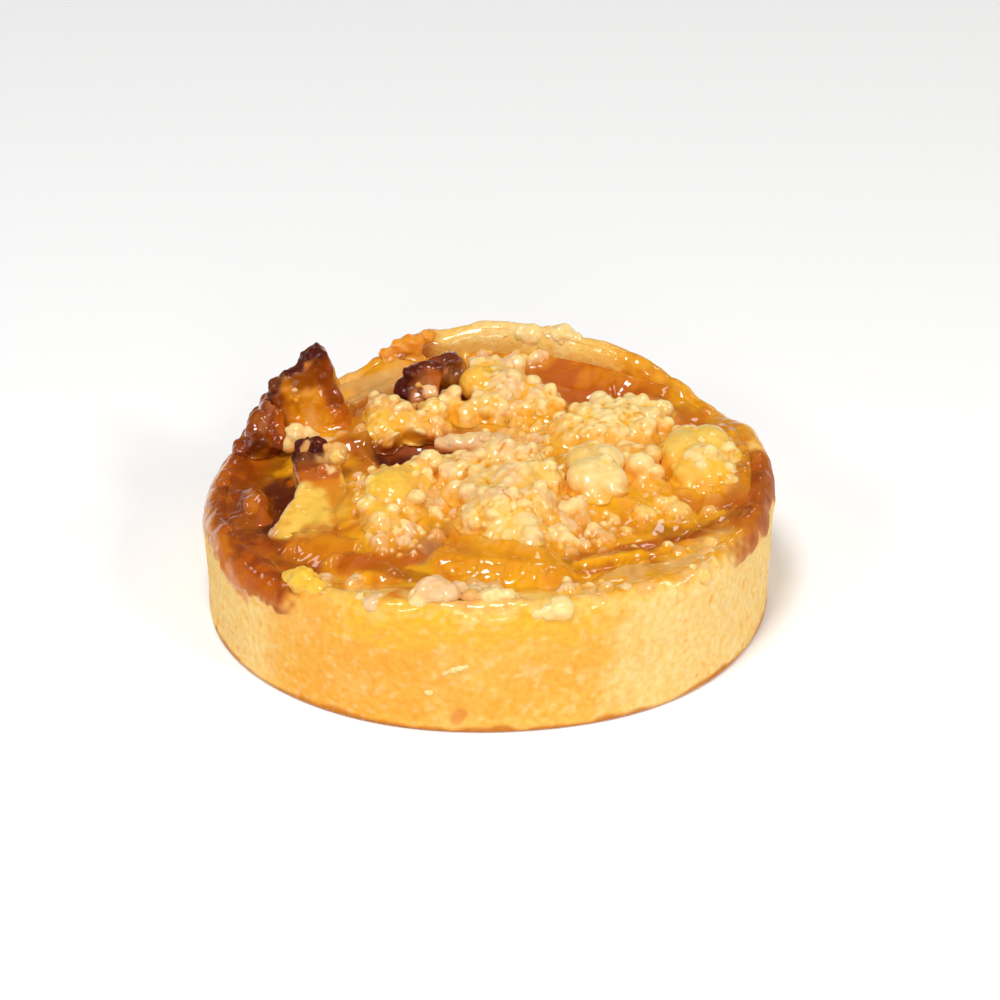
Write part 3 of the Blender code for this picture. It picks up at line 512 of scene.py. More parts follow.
# Lumps that give each piece of apple its uneven shape: place, half sizes, turn in degrees if any
APPLE_LUMPS = {
    "apple_chunk_tall": (
        ((-27.2, 20.8, 30.8), (1.0, 1.2, 1.3)), ((-28.6, 20.6, 30.0), (1.1, 1.3, 1.2)),
        ((-30.2, 20.6, 28.6), (1.2, 1.4, 1.1)), ((-31.8, 20.8, 27.4), (1.3, 1.5, 1.1)),
        ((-33.3, 20.8, 26.0), (1.4, 1.6, 1.3)), ((-33.9, 21.0, 24.2), (1.0, 1.5, 1.3)),
        ((-24.4, 19.0, 20.0), (2.2, 1.4, 3.2)), ((-22.4, 20.0, 18.4), (2.6, 1.8, 2.2)),
    ),
    "apple_wedge_left": (
        ((-27.6, -10.8, 18.6), (4.2, 4.6, 2.0)), ((-24.0, -12.6, 19.2), (3.4, 4.6, 1.9)),
        ((-28.6, 2.0, 23.0), (1.6, 1.6, 1.4)), ((-29.2, 4.6, 23.4), (1.4, 1.6, 1.5)),
        ((-28.0, 4.6, 21.2), (2.3, 2.4, 2.1)), ((-26.8, 7.8, 21.8), (2.2, 1.8, 1.9)),
        ((-24.8, 5.4, 21.6), (2.0, 2.2, 1.6)), ((-29.4, 6.6, 20.4), (1.5, 1.6, 1.6)),
    ),
    "apple_slice_back": (
        ((-13.2, 22.8, 24.4), (1.8, 1.5, 2.6)), ((-11.0, 22.4, 22.4), (2.6, 1.8, 2.4)),
        ((-9.2, 23.4, 28.0), (2.2, 1.4, 1.2)), ((-12.4, 22.4, 27.2), (1.4, 1.3, 1.2)),
    ),
    "apple_slice_clear": (
        ((-8.2, 26.4, 25.4), (1.9, 1.6, 2.5)), ((-4.8, 28.4, 23.4), (2.2, 1.8, 2.4)),
        ((-6.4, 27.2, 27.2), (2.4, 1.4, 1.0)),
    ),
    "apple_flake": (
        ((-6.4, 9.6, 21.2), (1.8, 1.3, 1.0)), ((0.8, 10.2, 21.6), (2.0, 1.2, 1.0)),
    ),
    "apple_lump_pool": (
        ((-38.4, -6.8, 15.8), (1.7, 2.8, 1.7), 10), ((-38.2, 1.4, 15.6), (1.5, 3.0, 1.5), -6),
        ((-34.8, -6.4, 15.2), (1.4, 2.2, 1.4), 20), ((-36.6, -4.0, 17.2), (1.8, 2.6, 1.8)),
    ),
    "apple_strip_rim": (
        ((-36.4, 22.4, 19.5), (1.6, 2.4, 1.8), -30), ((-37.8, 19.4, 18.4), (1.5, 2.4, 1.6), -20),
        ((-38.9, 16.2, 17.5), (1.4, 2.2, 1.2), -15), ((-34.6, 24.8, 20.4), (1.6, 1.8, 2.0), -40),
        ((-35.2, 20.2, 21.8), (1.5, 1.9, 1.9)), ((-33.0, 16.4, 19.2), (1.8, 2.2, 2.2)),
    ),
}

# Crumbs baked on to pieces of apple: x, y, z, radius, colour
APPLE_CRUMBS = {
    "apple_chunk_tall": (
        (-30.6, 19.1, 26.2, 0.5, "crumb_pink"), (-33.1, 21.0, 26.0, 0.8, "crumb_yellow"),
        (-30.4, 16.3, 19.6, 1.9, "crumb_cream"), (-28.6, 16.8, 19.2, 1.5, "crumb_cream"),
        (-31.8, 15.4, 18.4, 1.3, "crumb_cream"), (-27.4, 15.6, 18.4, 1.0, "crumb_tan"),
    ),
    "apple_flake": (
        (-5.6, 8.9, 22.0, 0.8, "crumb_pink"), (-3.9, 8.8, 22.3, 0.9, "crumb_pink"),
        (-2.2, 9.0, 22.4, 0.8, "crumb_cream"), (-0.6, 9.1, 22.5, 0.9, "crumb_pink"),
        (1.0, 9.4, 22.5, 0.8, "crumb_tan"), (2.2, 9.8, 22.3, 0.6, "crumb_pink"),
    ),
    "apple_slice_back": (
        (-9.1, 21.0, 24.8, 1.4, "crumb_pink"), (-11.0, 21.0, 26.2, 0.6, "crumb_tan"),
        (-11.4, 20.6, 22.4, 0.8, "crumb_tan"), (-6.6, 21.2, 24.0, 1.0, "crumb_tan"),
    ),
    "apple_wedge_left": (
        (-23.6, 0.2, 24.0, 1.4, "crumb_butter"), (-24.8, 1.4, 25.0, 0.9, "crumb_tan"),
        (-22.8, 1.8, 23.4, 1.2, "crumb_butter"),
    ),
}

# How wet with glaze each colour is, from dry to under a full coat
WETNESS = {
    "pastry": 0.10, "pastry_pale": 0.08, "pastry_orange": 0.15, "rim_cream": 0.75, "egg_wash": 0.85,
    "edge_brown": 0.05, "crumb_cream": 0.85, "crumb_butter": 0.85, "crumb_yellow": 0.9, "crumb_tan": 0.85,
    "crumb_orange": 0.9, "crumb_pink": 0.9,
    "honey": 1.0, "amber": 1.0, "caramel": 1.0, "toffee": 1.0, "molasses": 0.75, "tan": 0.95,
    "burnt": 0.25, "apple_yellow": 0.9, "apple_pale": 0.95, "apple_bright": 1.0,
}

# The coat of glaze, the same on every piece
GLAZE_ROUGHNESS = 0.035
GLAZE_IOR = 1.5

# How each kind of surface takes the light: roughness when dry and when wet, coat, and relief and size of
# its grain. Warm darkens blotches and pale lightens flecks, with kept as the flecks' share when wet
FINISHES = {
    "shortcrust": {
        "dry": 0.75, "wet": 0.26, "coat": 0.95, "specular": 0.03, "bump": 0.16, "grain": 0.45,
        "mottle": 0.75, "warm": (0.94, 0.76, 0.45), "fleck": 0.65, "kept": 0.1, "pale": (1.03, 1.16, 1.9),
        "subsurface": 0.15, "reach": (1.0, 0.55, 0.25),
    },
    "caramel_glaze": {
        "dry": 0.40, "wet": 0.22, "coat": 1.0, "specular": 0.04, "bump": 0.04, "grain": 0.8,
        "mottle": 0.45, "warm": (0.90, 0.68, 0.45), "fleck": 0.25, "kept": 0.6, "pale": (1.08, 1.20, 1.5),
        "subsurface": 0.20, "reach": (1.6, 0.7, 0.2),
    },
    "glazed_apple": {
        "dry": 0.45, "wet": 0.24, "coat": 1.0, "specular": 0.04, "bump": 0.06, "grain": 0.6,
        "mottle": 0.50, "warm": (0.92, 0.72, 0.48), "fleck": 0.30, "kept": 1.0, "pale": (1.08, 1.22, 1.6),
        "subsurface": 0.25, "reach": (1.8, 0.8, 0.25),
    },
    "glazed_crumble": {
        "dry": 0.60, "wet": 0.24, "coat": 0.85, "specular": 0.03, "bump": 0.12, "grain": 0.6,
        "mottle": 0.60, "warm": (0.95, 0.76, 0.46), "fleck": 0.40, "kept": 0.8, "pale": (1.03, 1.14, 1.5),
        "subsurface": 0.45, "reach": (1.3, 0.8, 0.35),
    },
}


def colour_of(name, description, default):
    """A colour that a user can change."""
    return FloatVectorProperty(
        name=name, description=description, default=default, subtype="COLOR", size=3, min=0.0, max=1.0,
    )


def number_of(name, description, default, smallest=0.0):
    """A number that a user can change."""
    return FloatProperty(name=name, description=description, default=default, min=smallest)


class TartColours(bpy.types.PropertyGroup):
    """The colours of the tart."""

    pastry: colour_of("Pastry", "Shortcrust of the wall", (0.94, 0.53, 0.10))
    pastry_pale: colour_of("Pale pastry", "Less baked shortcrust", (0.97, 0.70, 0.27))
    pastry_orange: colour_of("Deep pastry", "Well baked shortcrust", (0.93, 0.42, 0.05))
    rim_cream: colour_of("Rim", "The pale glazed lip", (0.94, 0.61, 0.16))
    egg_wash: colour_of("Egg wash", "Glossy yellow on the wall", (0.97, 0.51, 0.02))
    edge_brown: colour_of("Base edge", "The browned edge at the base", (0.55, 0.18, 0.02))
    crumb_cream: colour_of("Cream crumb", "The palest crumble", (0.96, 0.72, 0.32))
    crumb_butter: colour_of("Butter crumb", "Most of the crumble", (0.93, 0.60, 0.17))
    crumb_yellow: colour_of("Yellow crumb", "Crumble soaked in glaze", (0.94, 0.56, 0.06))
    crumb_tan: colour_of("Tan crumb", "Crumble under a thin glaze", (0.82, 0.43, 0.13))
    crumb_pink: colour_of("Pink crumb", "Crumble under cloudy glaze", (0.86, 0.56, 0.29))
    crumb_orange: colour_of("Orange crumb", "Crumble soaked in caramel", (0.85, 0.33, 0.03))
    honey: colour_of("Honey", "Thin bright glaze", (0.87, 0.39, 0.008))
    amber: colour_of("Amber", "Glaze over apple", (0.70, 0.22, 0.006))
    caramel: colour_of("Caramel", "Orange caramel", (0.50, 0.105, 0.004))
    toffee: colour_of("Toffee", "Brown caramel", (0.26, 0.042, 0.003))
    molasses: colour_of("Molasses", "Dark caramel", (0.11, 0.018, 0.004))
    tan: colour_of("Tan apple", "Brownish apple under glaze", (0.52, 0.20, 0.07))
    burnt: colour_of("Burnt", "Burnt edges of apple", (0.085, 0.012, 0.007))
    apple_yellow: colour_of("Yellow apple", "The pale wedge", (0.94, 0.58, 0.09))
    apple_pale: colour_of("Pale apple", "Flesh that shows in a cut", (0.85, 0.48, 0.14))
    apple_bright: colour_of("Bright apple", "Clear apple under honey", (0.82, 0.33, 0.007))


class TartSizes(bpy.types.PropertyGroup):
    """The fineness and relief of the tart's surfaces, in millimetres."""

    steps_round: IntProperty(name="Steps round", description="Points round the case", default=700, min=60)
    bed_steps: IntProperty(name="Bed steps", description="Points across the filling", default=308, min=40)
    crumble_voxel: number_of("Crumble fineness", "Voxel that joins the crumble, in mm", 0.20, 0.1)
    apple_voxel: number_of("Apple fineness", "Voxel that rounds the apple, in mm", 0.26, 0.1)
    crumb_smallest: number_of("Smallest crumb", "Radius of the smallest loose crumb, in mm", 0.45, 0.1)
    crumb_largest: number_of("Largest crumb", "Radius of the largest loose crumb, in mm", 1.4, 0.1)
    bank: number_of("Bank", "How far the filling heaps up round the crumble, in mm", 1.2, 0.01)
    meniscus: number_of("Meniscus", "How far glaze climbs what lies in it, in mm", 0.7)


class TartStage(bpy.types.PropertyGroup):
    """The camera, the lights and the floor."""

    elevation: FloatProperty(
        name="Elevation", description="Camera above level", default=math.radians(28), subtype="ANGLE",
    )
    distance: FloatProperty(
        name="Distance", description="Camera from the tart", default=0.9, unit="LENGTH", subtype="DISTANCE",
    )
    lens: number_of("Lens", "Focal length in mm", 206.7, 1.0)
    light: number_of("Light", "Strength of all the lamps", 0.89)
    sky: number_of("Sky", "Strength of the light overhead", 0.95)
    glow: number_of("Glow", "Light that the floor gives off", 0.11)
    floor: colour_of("Floor", "The plain pale floor", (0.95, 0.95, 0.95))


def ease(value):
    """Eases values that run from 0 to 1."""
    value = np.clip(value, 0.0, 1.0)
    return value * value * (3 - 2 * value)


def lattice(cell, seed):
    """A value from -1 to 1 for each cell of a lattice, by an integer hash, so the same each time."""
    mixed = (cell[:, 0] * 73856093) ^ (cell[:, 1] * 19349663) ^ (cell[:, 2] * 83492791)
    mixed = (mixed ^ (seed * 40503 + 977)) & 0xFFFFFFFF
    mixed = ((mixed ^ (mixed >> 15)) * 2246822519) & 0xFFFFFFFF
    mixed = ((mixed ^ (mixed >> 13)) * 3266489917) & 0xFFFFFFFF
    return ((mixed ^ (mixed >> 16)) & 0xFFFF) / 32767.5 - 1


def noise(places, size, seed=0):
    """Smooth noise from -1 to 1, with swells of about a size."""
    scaled = places / size
    cell = np.floor(scaled).astype(np.int64)
    part = ease(scaled - cell)
    total = np.zeros(len(places))
    for corner in itertools.product((0, 1), repeat=3):
        weight = np.prod(np.where(corner, part, 1 - part), axis=1)
        total += weight * lattice(cell + corner, seed)
    return total


def waves(places, name, step=0):
    """Noises of several sizes as one, by a name in WAVES."""
    return sum(strength * noise(places, size, seed + step) for strength, size, seed in WAVES[name])


def patches(places, size, seed, contrast=1.0, level=0.5):
    """Soft patches of about a size, from 0 to 1: more of them at a higher level."""
    return ease(level + contrast * noise(places, size, seed))


def knobs(places, size, seed):
    """Round bumps side by side, of about a size: 1 on top of each, and 0 or less where they meet."""
    scaled = places / size
    cell = np.floor(scaled).astype(np.int64)
    nearest = np.full(len(places), 9.0)
    for offset in itertools.product((-1, 0, 1), repeat=3):
        beside = cell + offset
        stray = np.stack([lattice(beside, seed + axis) for axis in range(3)], axis=1)
        middle = beside + 0.5 + KNOB_STRAY * stray
        nearest = np.minimum(nearest, ((scaled - middle) ** 2).sum(axis=1))
    return 1 - KNOB_STEEPNESS * nearest


def bumps(places, seed):
    """The relief of crumbs baked together, in millimetres: bumps on bumps, uneven in size and shape."""
    warp = np.stack([noise(places, BUMP_WARP_SIZE, seed + axis) for axis in range(3)], axis=1)
    warped = places + BUMP_WARP * warp
    calm = 0.3 + 0.7 * patches(places, 4.5, seed + 6, 1.5)
    relief = sum(
        depth * knobs(warped, size, seed + 10 * step) for step, (size, depth) in enumerate(BUMP_SIZES)
    )
    return waves(places, "bump_swell", seed) + calm * relief


def rim_height(angle):
    """The height of the rim's crest at angles in radians."""
    degrees = np.degrees(angle) % 360
    stations = np.array([station for station, _ in RIM_CREST], float)
    heights = np.array([height for _, height in RIM_CREST])
    index = np.clip(np.searchsorted(stations, degrees, side="right") - 1, 0, len(stations) - 2)
    share = ease((degrees - stations[index]) / (stations[index + 1] - stations[index]))
    return heights[index] + (heights[index + 1] - heights[index]) * share


def filling_height(x, y):
    """The height of the filling at places."""
    height = np.full(np.shape(x), FILLING_LEVEL)
    for centre_x, centre_y, reach_x, reach_y, swell in SWELLS:
        height = height + swell * np.exp(-((x - centre_x) / reach_x) ** 2 - ((y - centre_y) / reach_y) ** 2)
    edge = np.minimum(height, rim_height(np.arctan2(y, x)) - EDGE_BELOW_RIM)
    blend = ease((np.hypot(x, y) - EDGE_BLEND_FROM) / (INNER_RADIUS - EDGE_BLEND_FROM))
    return height + (edge - height) * blend


def palette(context):
    """Each colour with its wetness, as four numbers."""
    colours = context.scene.tart_colours
    return {name: np.array([*getattr(colours, name), wet]) for name, wet in WETNESS.items()}


def make_mesh(name, places, faces):
    """A mesh of places in millimetres."""
    mesh = bpy.data.meshes.new(name)
    mesh.from_pydata((np.asarray(places) * MM).tolist(), [], faces)
    mesh.update()
    return mesh


def make_object(name, mesh, context):
    """An object of a mesh in the scene."""
    piece = bpy.data.objects.new(name, mesh)
    context.scene.collection.objects.link(piece)
    return piece


def places_of(mesh):
    """A mesh's points in millimetres."""
    places = np.empty(len(mesh.vertices) * 3)
    mesh.vertices.foreach_get("co", places)
    return places.reshape(-1, 3) / MM


def normals_of(mesh):
    """The direction out of a mesh at each of its points."""
    normals = np.empty(len(mesh.vertices) * 3)
    mesh.vertices.foreach_get("normal", normals)
    return normals.reshape(-1, 3)


def set_places(mesh, places):
    """Moves a mesh's points."""
    mesh.vertices.foreach_set("co", (places * MM).astype(np.float32).ravel())
    mesh.update()


def edges_of(mesh):
    """A mesh's edges as pairs of points."""
    edges = np.empty(len(mesh.edges) * 2, dtype=np.int32)
    mesh.edges.foreach_get("vertices", edges)
    return edges.reshape(-1, 2)


def neighbour_mean(places, edges):
    """The mean of each point's neighbours."""
    count = np.bincount(edges.ravel(), minlength=len(places))
    total = np.empty_like(places)
    for axis in range(3):
        column = places[:, axis]
        total[:, axis] = np.bincount(edges[:, 0], column[edges[:, 1]], len(places))
        total[:, axis] += np.bincount(edges[:, 1], column[edges[:, 0]], len(places))
    return total / np.maximum(count, 1)[:, None]


def smooth(mesh, rounds):
    """Evens out a mesh's points."""
    places = places_of(mesh)
    edges = edges_of(mesh)
    for _ in range(rounds):
        places += (neighbour_mean(places, edges) - places) * 0.5
    set_places(mesh, places)


def push(mesh, shift):
    """Moves a mesh's points outwards, in millimetres."""
    set_places(mesh, places_of(mesh) + normals_of(mesh) * shift[:, None])


def hollowness(mesh, rounds):
    """How deep each point lies in a hollow, in millimetres, and below 0 on a bump."""
    places = places_of(mesh)
    edges = edges_of(mesh)
    evened = places
    for _ in range(rounds):
        evened = neighbour_mean(evened, edges)
    return ((evened - places) * normals_of(mesh)).sum(axis=1)


def fill_hollows(mesh, rounds, share):
    """Lets glaze gather in a mesh's creases, and leaves its bumps round."""
    push(mesh, np.clip(hollowness(mesh, rounds), 0, None) * share)


def tree_of(name):
    """A search tree of a piece's faces."""
    mesh = bpy.data.objects[name].data
    corners = [face.vertices for face in mesh.polygons]
    return BVHTree.FromPolygons([vert.co for vert in mesh.vertices], corners)


def height_under(tree, x, y):
    """How high a piece is at a place, in millimetres, or None beside it."""
    hit = tree.ray_cast(Vector((x * MM, y * MM, RAY_START)), Vector((0, 0, -1)))[0]
    return hit.z / MM if hit else None


def flare_foot(mesh):
    """Flares a piece where it meets the filling, as glaze that climbs it."""
    tree = tree_of("filling_caramel")
    places = places_of(mesh)
    sideways = normals_of(mesh)[:, :2]
    sideways /= np.maximum(np.linalg.norm(sideways, axis=1), 0.3)[:, None]
    levels = filling_height(places[:, 0], places[:, 1])
    for index in np.flatnonzero(np.abs(places[:, 2] - levels) < FOOT_SEARCH):
        bed = height_under(tree, *places[index, :2])
        above = 1.0 if bed is None else (places[index, 2] - bed) / FOOT_RISE
        if above < 1:
            places[index, :2] += sideways[index] * FOOT_SPREAD * (1 - max(above, 0)) ** 2
    set_places(mesh, places)


def blend_to(tint, colour, mask):
    """Takes a tint towards a colour by a mask."""
    return tint + (colour - tint) * np.clip(mask, 0, 1)[:, None]


def stroke_mask(places, start, end, radius, waver):
    """A soft-edged stroke between two places, with a wavering edge."""
    start = np.array(start, float)
    along = np.array(end, float) - start
    share = np.clip(((places - start) @ along) / max(along @ along, TINY), 0, 1)
    reach = np.linalg.norm(places - start - share[:, None] * along, axis=1) / radius
    return 1 - ease((reach + waver - STROKE_SOLID) / STROKE_FADE)


def paint(tint, places, strokes, colours):
    """Lays strokes of colour over a tint."""
    waver = waves(places, "stroke_edge")
    for start, end, radius, colour, strength in strokes:
        mask = stroke_mask(places, start, end, radius, waver)
        tint = blend_to(tint, colours[colour], mask * strength)
    return tint


def marked(places, strokes, names):
    """How strongly the strokes in certain colours cover places."""
    chosen = [stroke for stroke in strokes if stroke[3] in names]
    return paint(np.zeros((len(places), 1)), places, chosen, {name: np.ones(1) for name in names})[:, 0]


def store_tint(mesh, tint):
    """Keeps a tint and its wetness in the attributes that the materials read."""
    colour = mesh.attributes.new("tint", "FLOAT_COLOR", "POINT")
    values = np.column_stack([np.clip(tint[:, :3], 0, 1), np.ones(len(tint))])
    colour.data.foreach_set("color", values.astype(np.float32).ravel())
    wet = mesh.attributes.new("wet", "FLOAT", "POINT")
    wet.data.foreach_set("value", np.clip(tint[:, 3], 0, 1).astype(np.float32))


def unit_ball(subdivisions):
    """Points and faces of a ball of radius 1."""
    shape = bmesh.new()
    bmesh.ops.create_icosphere(shape, subdivisions=subdivisions, radius=1.0)
    points = np.array([vert.co for vert in shape.verts])
    faces = np.array([[vert.index for vert in face.verts] for face in shape.faces])
    shape.free()
    return points, faces


def ball_arrays(balls, draw):
    """Points and faces of balls, each a place and a radius, stretched a little at random."""
    unit, faces = unit_ball(2)
    centres = np.array([place for place, _ in balls], float)
    radii = np.array([radius for _, radius in balls], float)
    stretch = radii[:, None] * draw.uniform(*BALL_STRETCH, (len(balls), 3))
    places = centres[:, None, :] + unit[None, :, :] * stretch[:, None, :]
    offsets = np.arange(len(balls)) * len(unit)
    return places.reshape(-1, 3), (faces[None, :, :] + offsets[:, None, None]).reshape(-1, 3)


def cad_arrays(node):
    """Points and triangles of a node of the frame."""
    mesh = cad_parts[node].data
    mesh.calc_loop_triangles()
    faces = np.empty(len(mesh.loop_triangles) * 3, dtype=np.int32)
    mesh.loop_triangles.foreach_get("vertices", faces)
    return places_of(mesh), faces.reshape(-1, 3)


def joined(parts):
    """Points and faces of several parts as one."""
    places = np.concatenate([part[0] for part in parts])
    starts = np.cumsum([0] + [len(part[0]) for part in parts[:-1]])
    faces = np.concatenate([part[1] + start for part, start in zip(parts, starts)])
    return places, faces


def welded(places, faces):
    """Makes points that share a place one, because the frame splits them at sharp edges."""
    keys, back = np.unique(np.round(places, 4), axis=0, return_inverse=True)
    faces = back.ravel()[faces]
    whole = (faces[:, 0] != faces[:, 1]) & (faces[:, 1] != faces[:, 2]) & (faces[:, 0] != faces[:, 2])
    return keys, faces[whole]


def voxel_union(name, parts, voxel, context):
    """Joins closed parts into one even skin."""
    places, faces = joined(parts)
    piece = make_object(name, make_mesh(name, places, faces.tolist()), context)
    remesh = piece.modifiers.new("Join", "REMESH")
    remesh.mode = "VOXEL"
    remesh.voxel_size = voxel * MM
    made = bpy.data.meshes.new_from_object(piece.evaluated_get(context.evaluated_depsgraph_get()))
    piece.modifiers.clear()
    rough = piece.data
    piece.data = made
    bpy.data.meshes.remove(rough)
    if len(made.vertices) == 0:
        raise RuntimeError(f"{name} came out empty")
    return piece


def beads_over(places, faces, density, sizes, draw):
    """Beads that stick out of a surface, packed side by side, with few underneath."""
    corners = places[faces]
    across = np.cross(corners[:, 1] - corners[:, 0], corners[:, 2] - corners[:, 0])
    area = np.linalg.norm(across, axis=1) / 2
    normal = across / np.maximum(2 * area, TINY)[:, None]
    wanted = np.where(normal[:, 2] > UNDERSIDE, area, 0)
    count = int(density * wanted.sum())
    chosen = draw.choice(len(faces), count, p=wanted / wanted.sum())
    mix = draw.dirichlet((1, 1, 1), count)
    smallest, largest = sizes
    radii = np.sort(smallest + (largest - smallest) * draw.random(count) ** BEAD_FEW_LARGE)[::-1]
    spots = (corners[chosen] * mix[:, :, None]).sum(axis=1) - normal[chosen] * (radii * BEAD_SINK)[:, None]
    kept = []
    for index in range(count):
        gap = np.linalg.norm(spots[kept] - spots[index], axis=1)
        if np.all(gap > BEAD_SPACING * (radii[kept] + radii[index])):
            kept.append(index)
    level = noise(spots, SETTLED_SIZE, 93)
    return [(spots[index], radii[index]) for index in kept if level[index] > SETTLED_BELOW]


def dress(piece, nodes, material):
    """Gives a piece its material and body, smooths its shading, and hides the nodes of the frame that it
    stands for.
    """
    piece.data.materials.clear()
    piece.data.materials.append(material)
    piece.data.shade_smooth()
    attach(piece, BODY)
    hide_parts(*nodes)


def noise_node(nodes, links, where, size, detail):
    """A noise texture whose swells have a size in millimetres."""
    texture = nodes.new("ShaderNodeTexNoise")
    texture.inputs["Scale"].default_value = 1 / (size * MM)
    texture.inputs["Detail"].default_value = detail
    links.new(where.outputs["Object"], texture.inputs["Vector"])
    return texture


def map_node(nodes, links, source, ranges):
    """Maps a value from one range to another."""
    node = nodes.new("ShaderNodeMapRange")
    for name, value in zip(("From Min", "From Max", "To Min", "To Max"), ranges):
        node.inputs[name].default_value = value
    links.new(source, node.inputs["Value"])
    return node.outputs["Result"]


def times_node(nodes, links, colour, factors):
    """Multiplies a colour by three factors."""
    node = nodes.new("ShaderNodeVectorMath")
    node.operation = "MULTIPLY"
    node.inputs[1].default_value = factors
    links.new(colour, node.inputs[0])
    return node.outputs["Vector"]


def mix_node(nodes, links, share, first, second):
    """Mixes two colours by a share."""
    node = nodes.new("ShaderNodeMix")
    node.data_type = "RGBA"
    for name, source in (("Factor", share), ("A", first), ("B", second)):
        links.new(source, node.inputs[name])
    return node.outputs["Result"]


def attribute_node(nodes, name):
    """An attribute of the mesh."""
    node = nodes.new("ShaderNodeAttribute")
    node.attribute_name = name
    return node


def food_material(name):
    """A Principled material whose colour, gloss and coat follow a piece's tint and wetness."""
    if name in bpy.data.materials:
        return bpy.data.materials[name]
    finish = FINISHES[name]
    material = bpy.data.materials.new(name)
    material.use_nodes = True
    nodes = material.node_tree.nodes
    links = material.node_tree.links
    shader = nodes["Principled BSDF"]
    where = nodes.new("ShaderNodeTexCoord")
    tint = attribute_node(nodes, "tint").outputs["Color"]
    wet = attribute_node(nodes, "wet").outputs["Fac"]

    warm = times_node(nodes, links, tint, finish["warm"])
    blotches = noise_node(nodes, links, where, finish["grain"] * 2.2, 5).outputs["Fac"]
    blotched = map_node(nodes, links, blotches, (0.38, 0.66, 0, finish["mottle"]))
    mottled = mix_node(nodes, links, blotched, tint, warm)
    pale = times_node(nodes, links, mottled, finish["pale"])
    flecks = noise_node(nodes, links, where, finish["grain"] * 1.1, 4).outputs["Fac"]
    kept = nodes.new("ShaderNodeMath")
    kept.operation = "MULTIPLY"
    links.new(map_node(nodes, links, flecks, (0.48, 0.68, 0, finish["fleck"])), kept.inputs[0])
    links.new(map_node(nodes, links, wet, (0.1, 0.9, 1, finish["kept"])), kept.inputs[1])
    flecked = mix_node(nodes, links, kept.outputs["Value"], mottled, pale)
    links.new(flecked, shader.inputs["Base Color"])

    links.new(map_node(nodes, links, wet, (0, 1, finish["dry"], finish["wet"])), shader.inputs["Roughness"])
    links.new(map_node(nodes, links, wet, (0.1, 1, 0, finish["coat"])), shader.inputs["Coat Weight"])
    shader.inputs["Coat Roughness"].default_value = GLAZE_ROUGHNESS
    shader.inputs["Coat IOR"].default_value = GLAZE_IOR
    shader.inputs["Specular IOR Level"].default_value = finish["specular"]

    grain = noise_node(nodes, links, where, finish["grain"], 5)
    bump = nodes.new("ShaderNodeBump")
    bump.inputs["Distance"].default_value = finish["bump"] * MM
    links.new(grain.outputs["Fac"], bump.inputs["Height"])
    links.new(bump.outputs["Normal"], shader.inputs["Normal"])

    shader.inputs["Subsurface Weight"].default_value = finish["subsurface"]
    shader.inputs["Subsurface Radius"].default_value = finish["reach"]
    shader.inputs["Subsurface Scale"].default_value = MM
    return material


def case_rings():
    """The case's section from its base over the rim to its floor: radius, height, and way from the crest."""
    rings = [(radius, 0.0) for radius in BASE_RINGS]
    for angle in np.linspace(math.pi / 2, 0, CORNER_RINGS):
        radius = BASE_RADIUS - BASE_ROUND + BASE_ROUND * math.cos(angle)
        rings.append((radius, BASE_ROUND * (1 - math.sin(angle))))
    top = RIM_LEVEL - RIM_DROP_OUTSIDE
    heights, depths = zip(*OUTER_RINGS)
    for height in np.linspace(BASE_ROUND, top, WALL_RINGS)[1:-1]:
        rings.append((OUTER_RADIUS - np.interp(height, heights, depths), height))
    middle = (INNER_RADIUS + OUTER_RADIUS) / 2
    half = (OUTER_RADIUS - INNER_RADIUS) / 2
    for angle in np.linspace(0, math.pi, RIM_RINGS):
        drop = RIM_DROP_OUTSIDE if angle < math.pi / 2 else RIM_DROP_INSIDE
        rings.append((middle + half * math.cos(angle), RIM_LEVEL - drop * (1 - math.sin(angle))))
    inside = np.linspace(RIM_LEVEL - RIM_DROP_INSIDE, INSIDE_END, INSIDE_RINGS)[1:]
    rings += [(INNER_RADIUS, height) for height in inside]
    rings.append((INNER_RADIUS, FLOOR))
    rings = np.array(rings)
    along = np.concatenate([[0], np.cumsum(np.linalg.norm(np.diff(rings, axis=0), axis=1))])
    crest = along[np.argmax(rings[:, 1])]
    return rings, crest - along


def case_grid(steps):
    """The case as rings of points: places, angle and way outside the crest for each point."""
    rings, outside = case_rings()
    angle = np.linspace(-math.pi, math.pi, steps, endpoint=False)
    radius, turn = np.meshgrid(rings[:, 0], angle, indexing="ij")
    height = np.repeat(rings[:, 1][:, None], steps, axis=1)
    lift = ease((height - RIM_LIFT_FROM) / (RIM_LEVEL - RIM_LIFT_FROM))
    wave = sum(depth * np.sin(count * turn + phase) for count, phase, depth in WALL_WAVES)
    wave = wave - BASE_SQUARENESS * np.cos(4 * turn) * (1 - lift)
    radius = radius * (1 + wave / OUTER_RADIUS * (radius > WAVES_FROM))
    height = height + lift * (rim_height(turn) - RIM_LEVEL)
    places = np.stack([radius * np.cos(turn), radius * np.sin(turn), height], axis=-1).reshape(-1, 3)
    return places, turn.ravel(), np.repeat(outside, steps), len(rings)


def ring_faces(rings, steps):
    """Faces between rings of points, with a flat face over the first and the last."""
    step = np.arange(steps)
    following = (step + 1) % steps
    faces = []
    for ring in range(rings - 1):
        low = ring * steps
        high = low + steps
        faces += np.column_stack([low + step, low + following, high + following, high + step]).tolist()
    faces.append(list(range(steps - 1, -1, -1)))
    faces.append([(rings - 1) * steps + index for index in range(steps)])
    return faces


def round_mask(degrees, start, end, waver):
    """Where places lie between two directions, with a wavering edge."""
    away = np.abs((degrees - (start + end) / 2 + 180) % 360 - 180)
    return 1 - ease((away - (end - start) / 2 + BAND_WAVER_DEGREES * waver) / BAND_EDGE_DEGREES + 0.5)


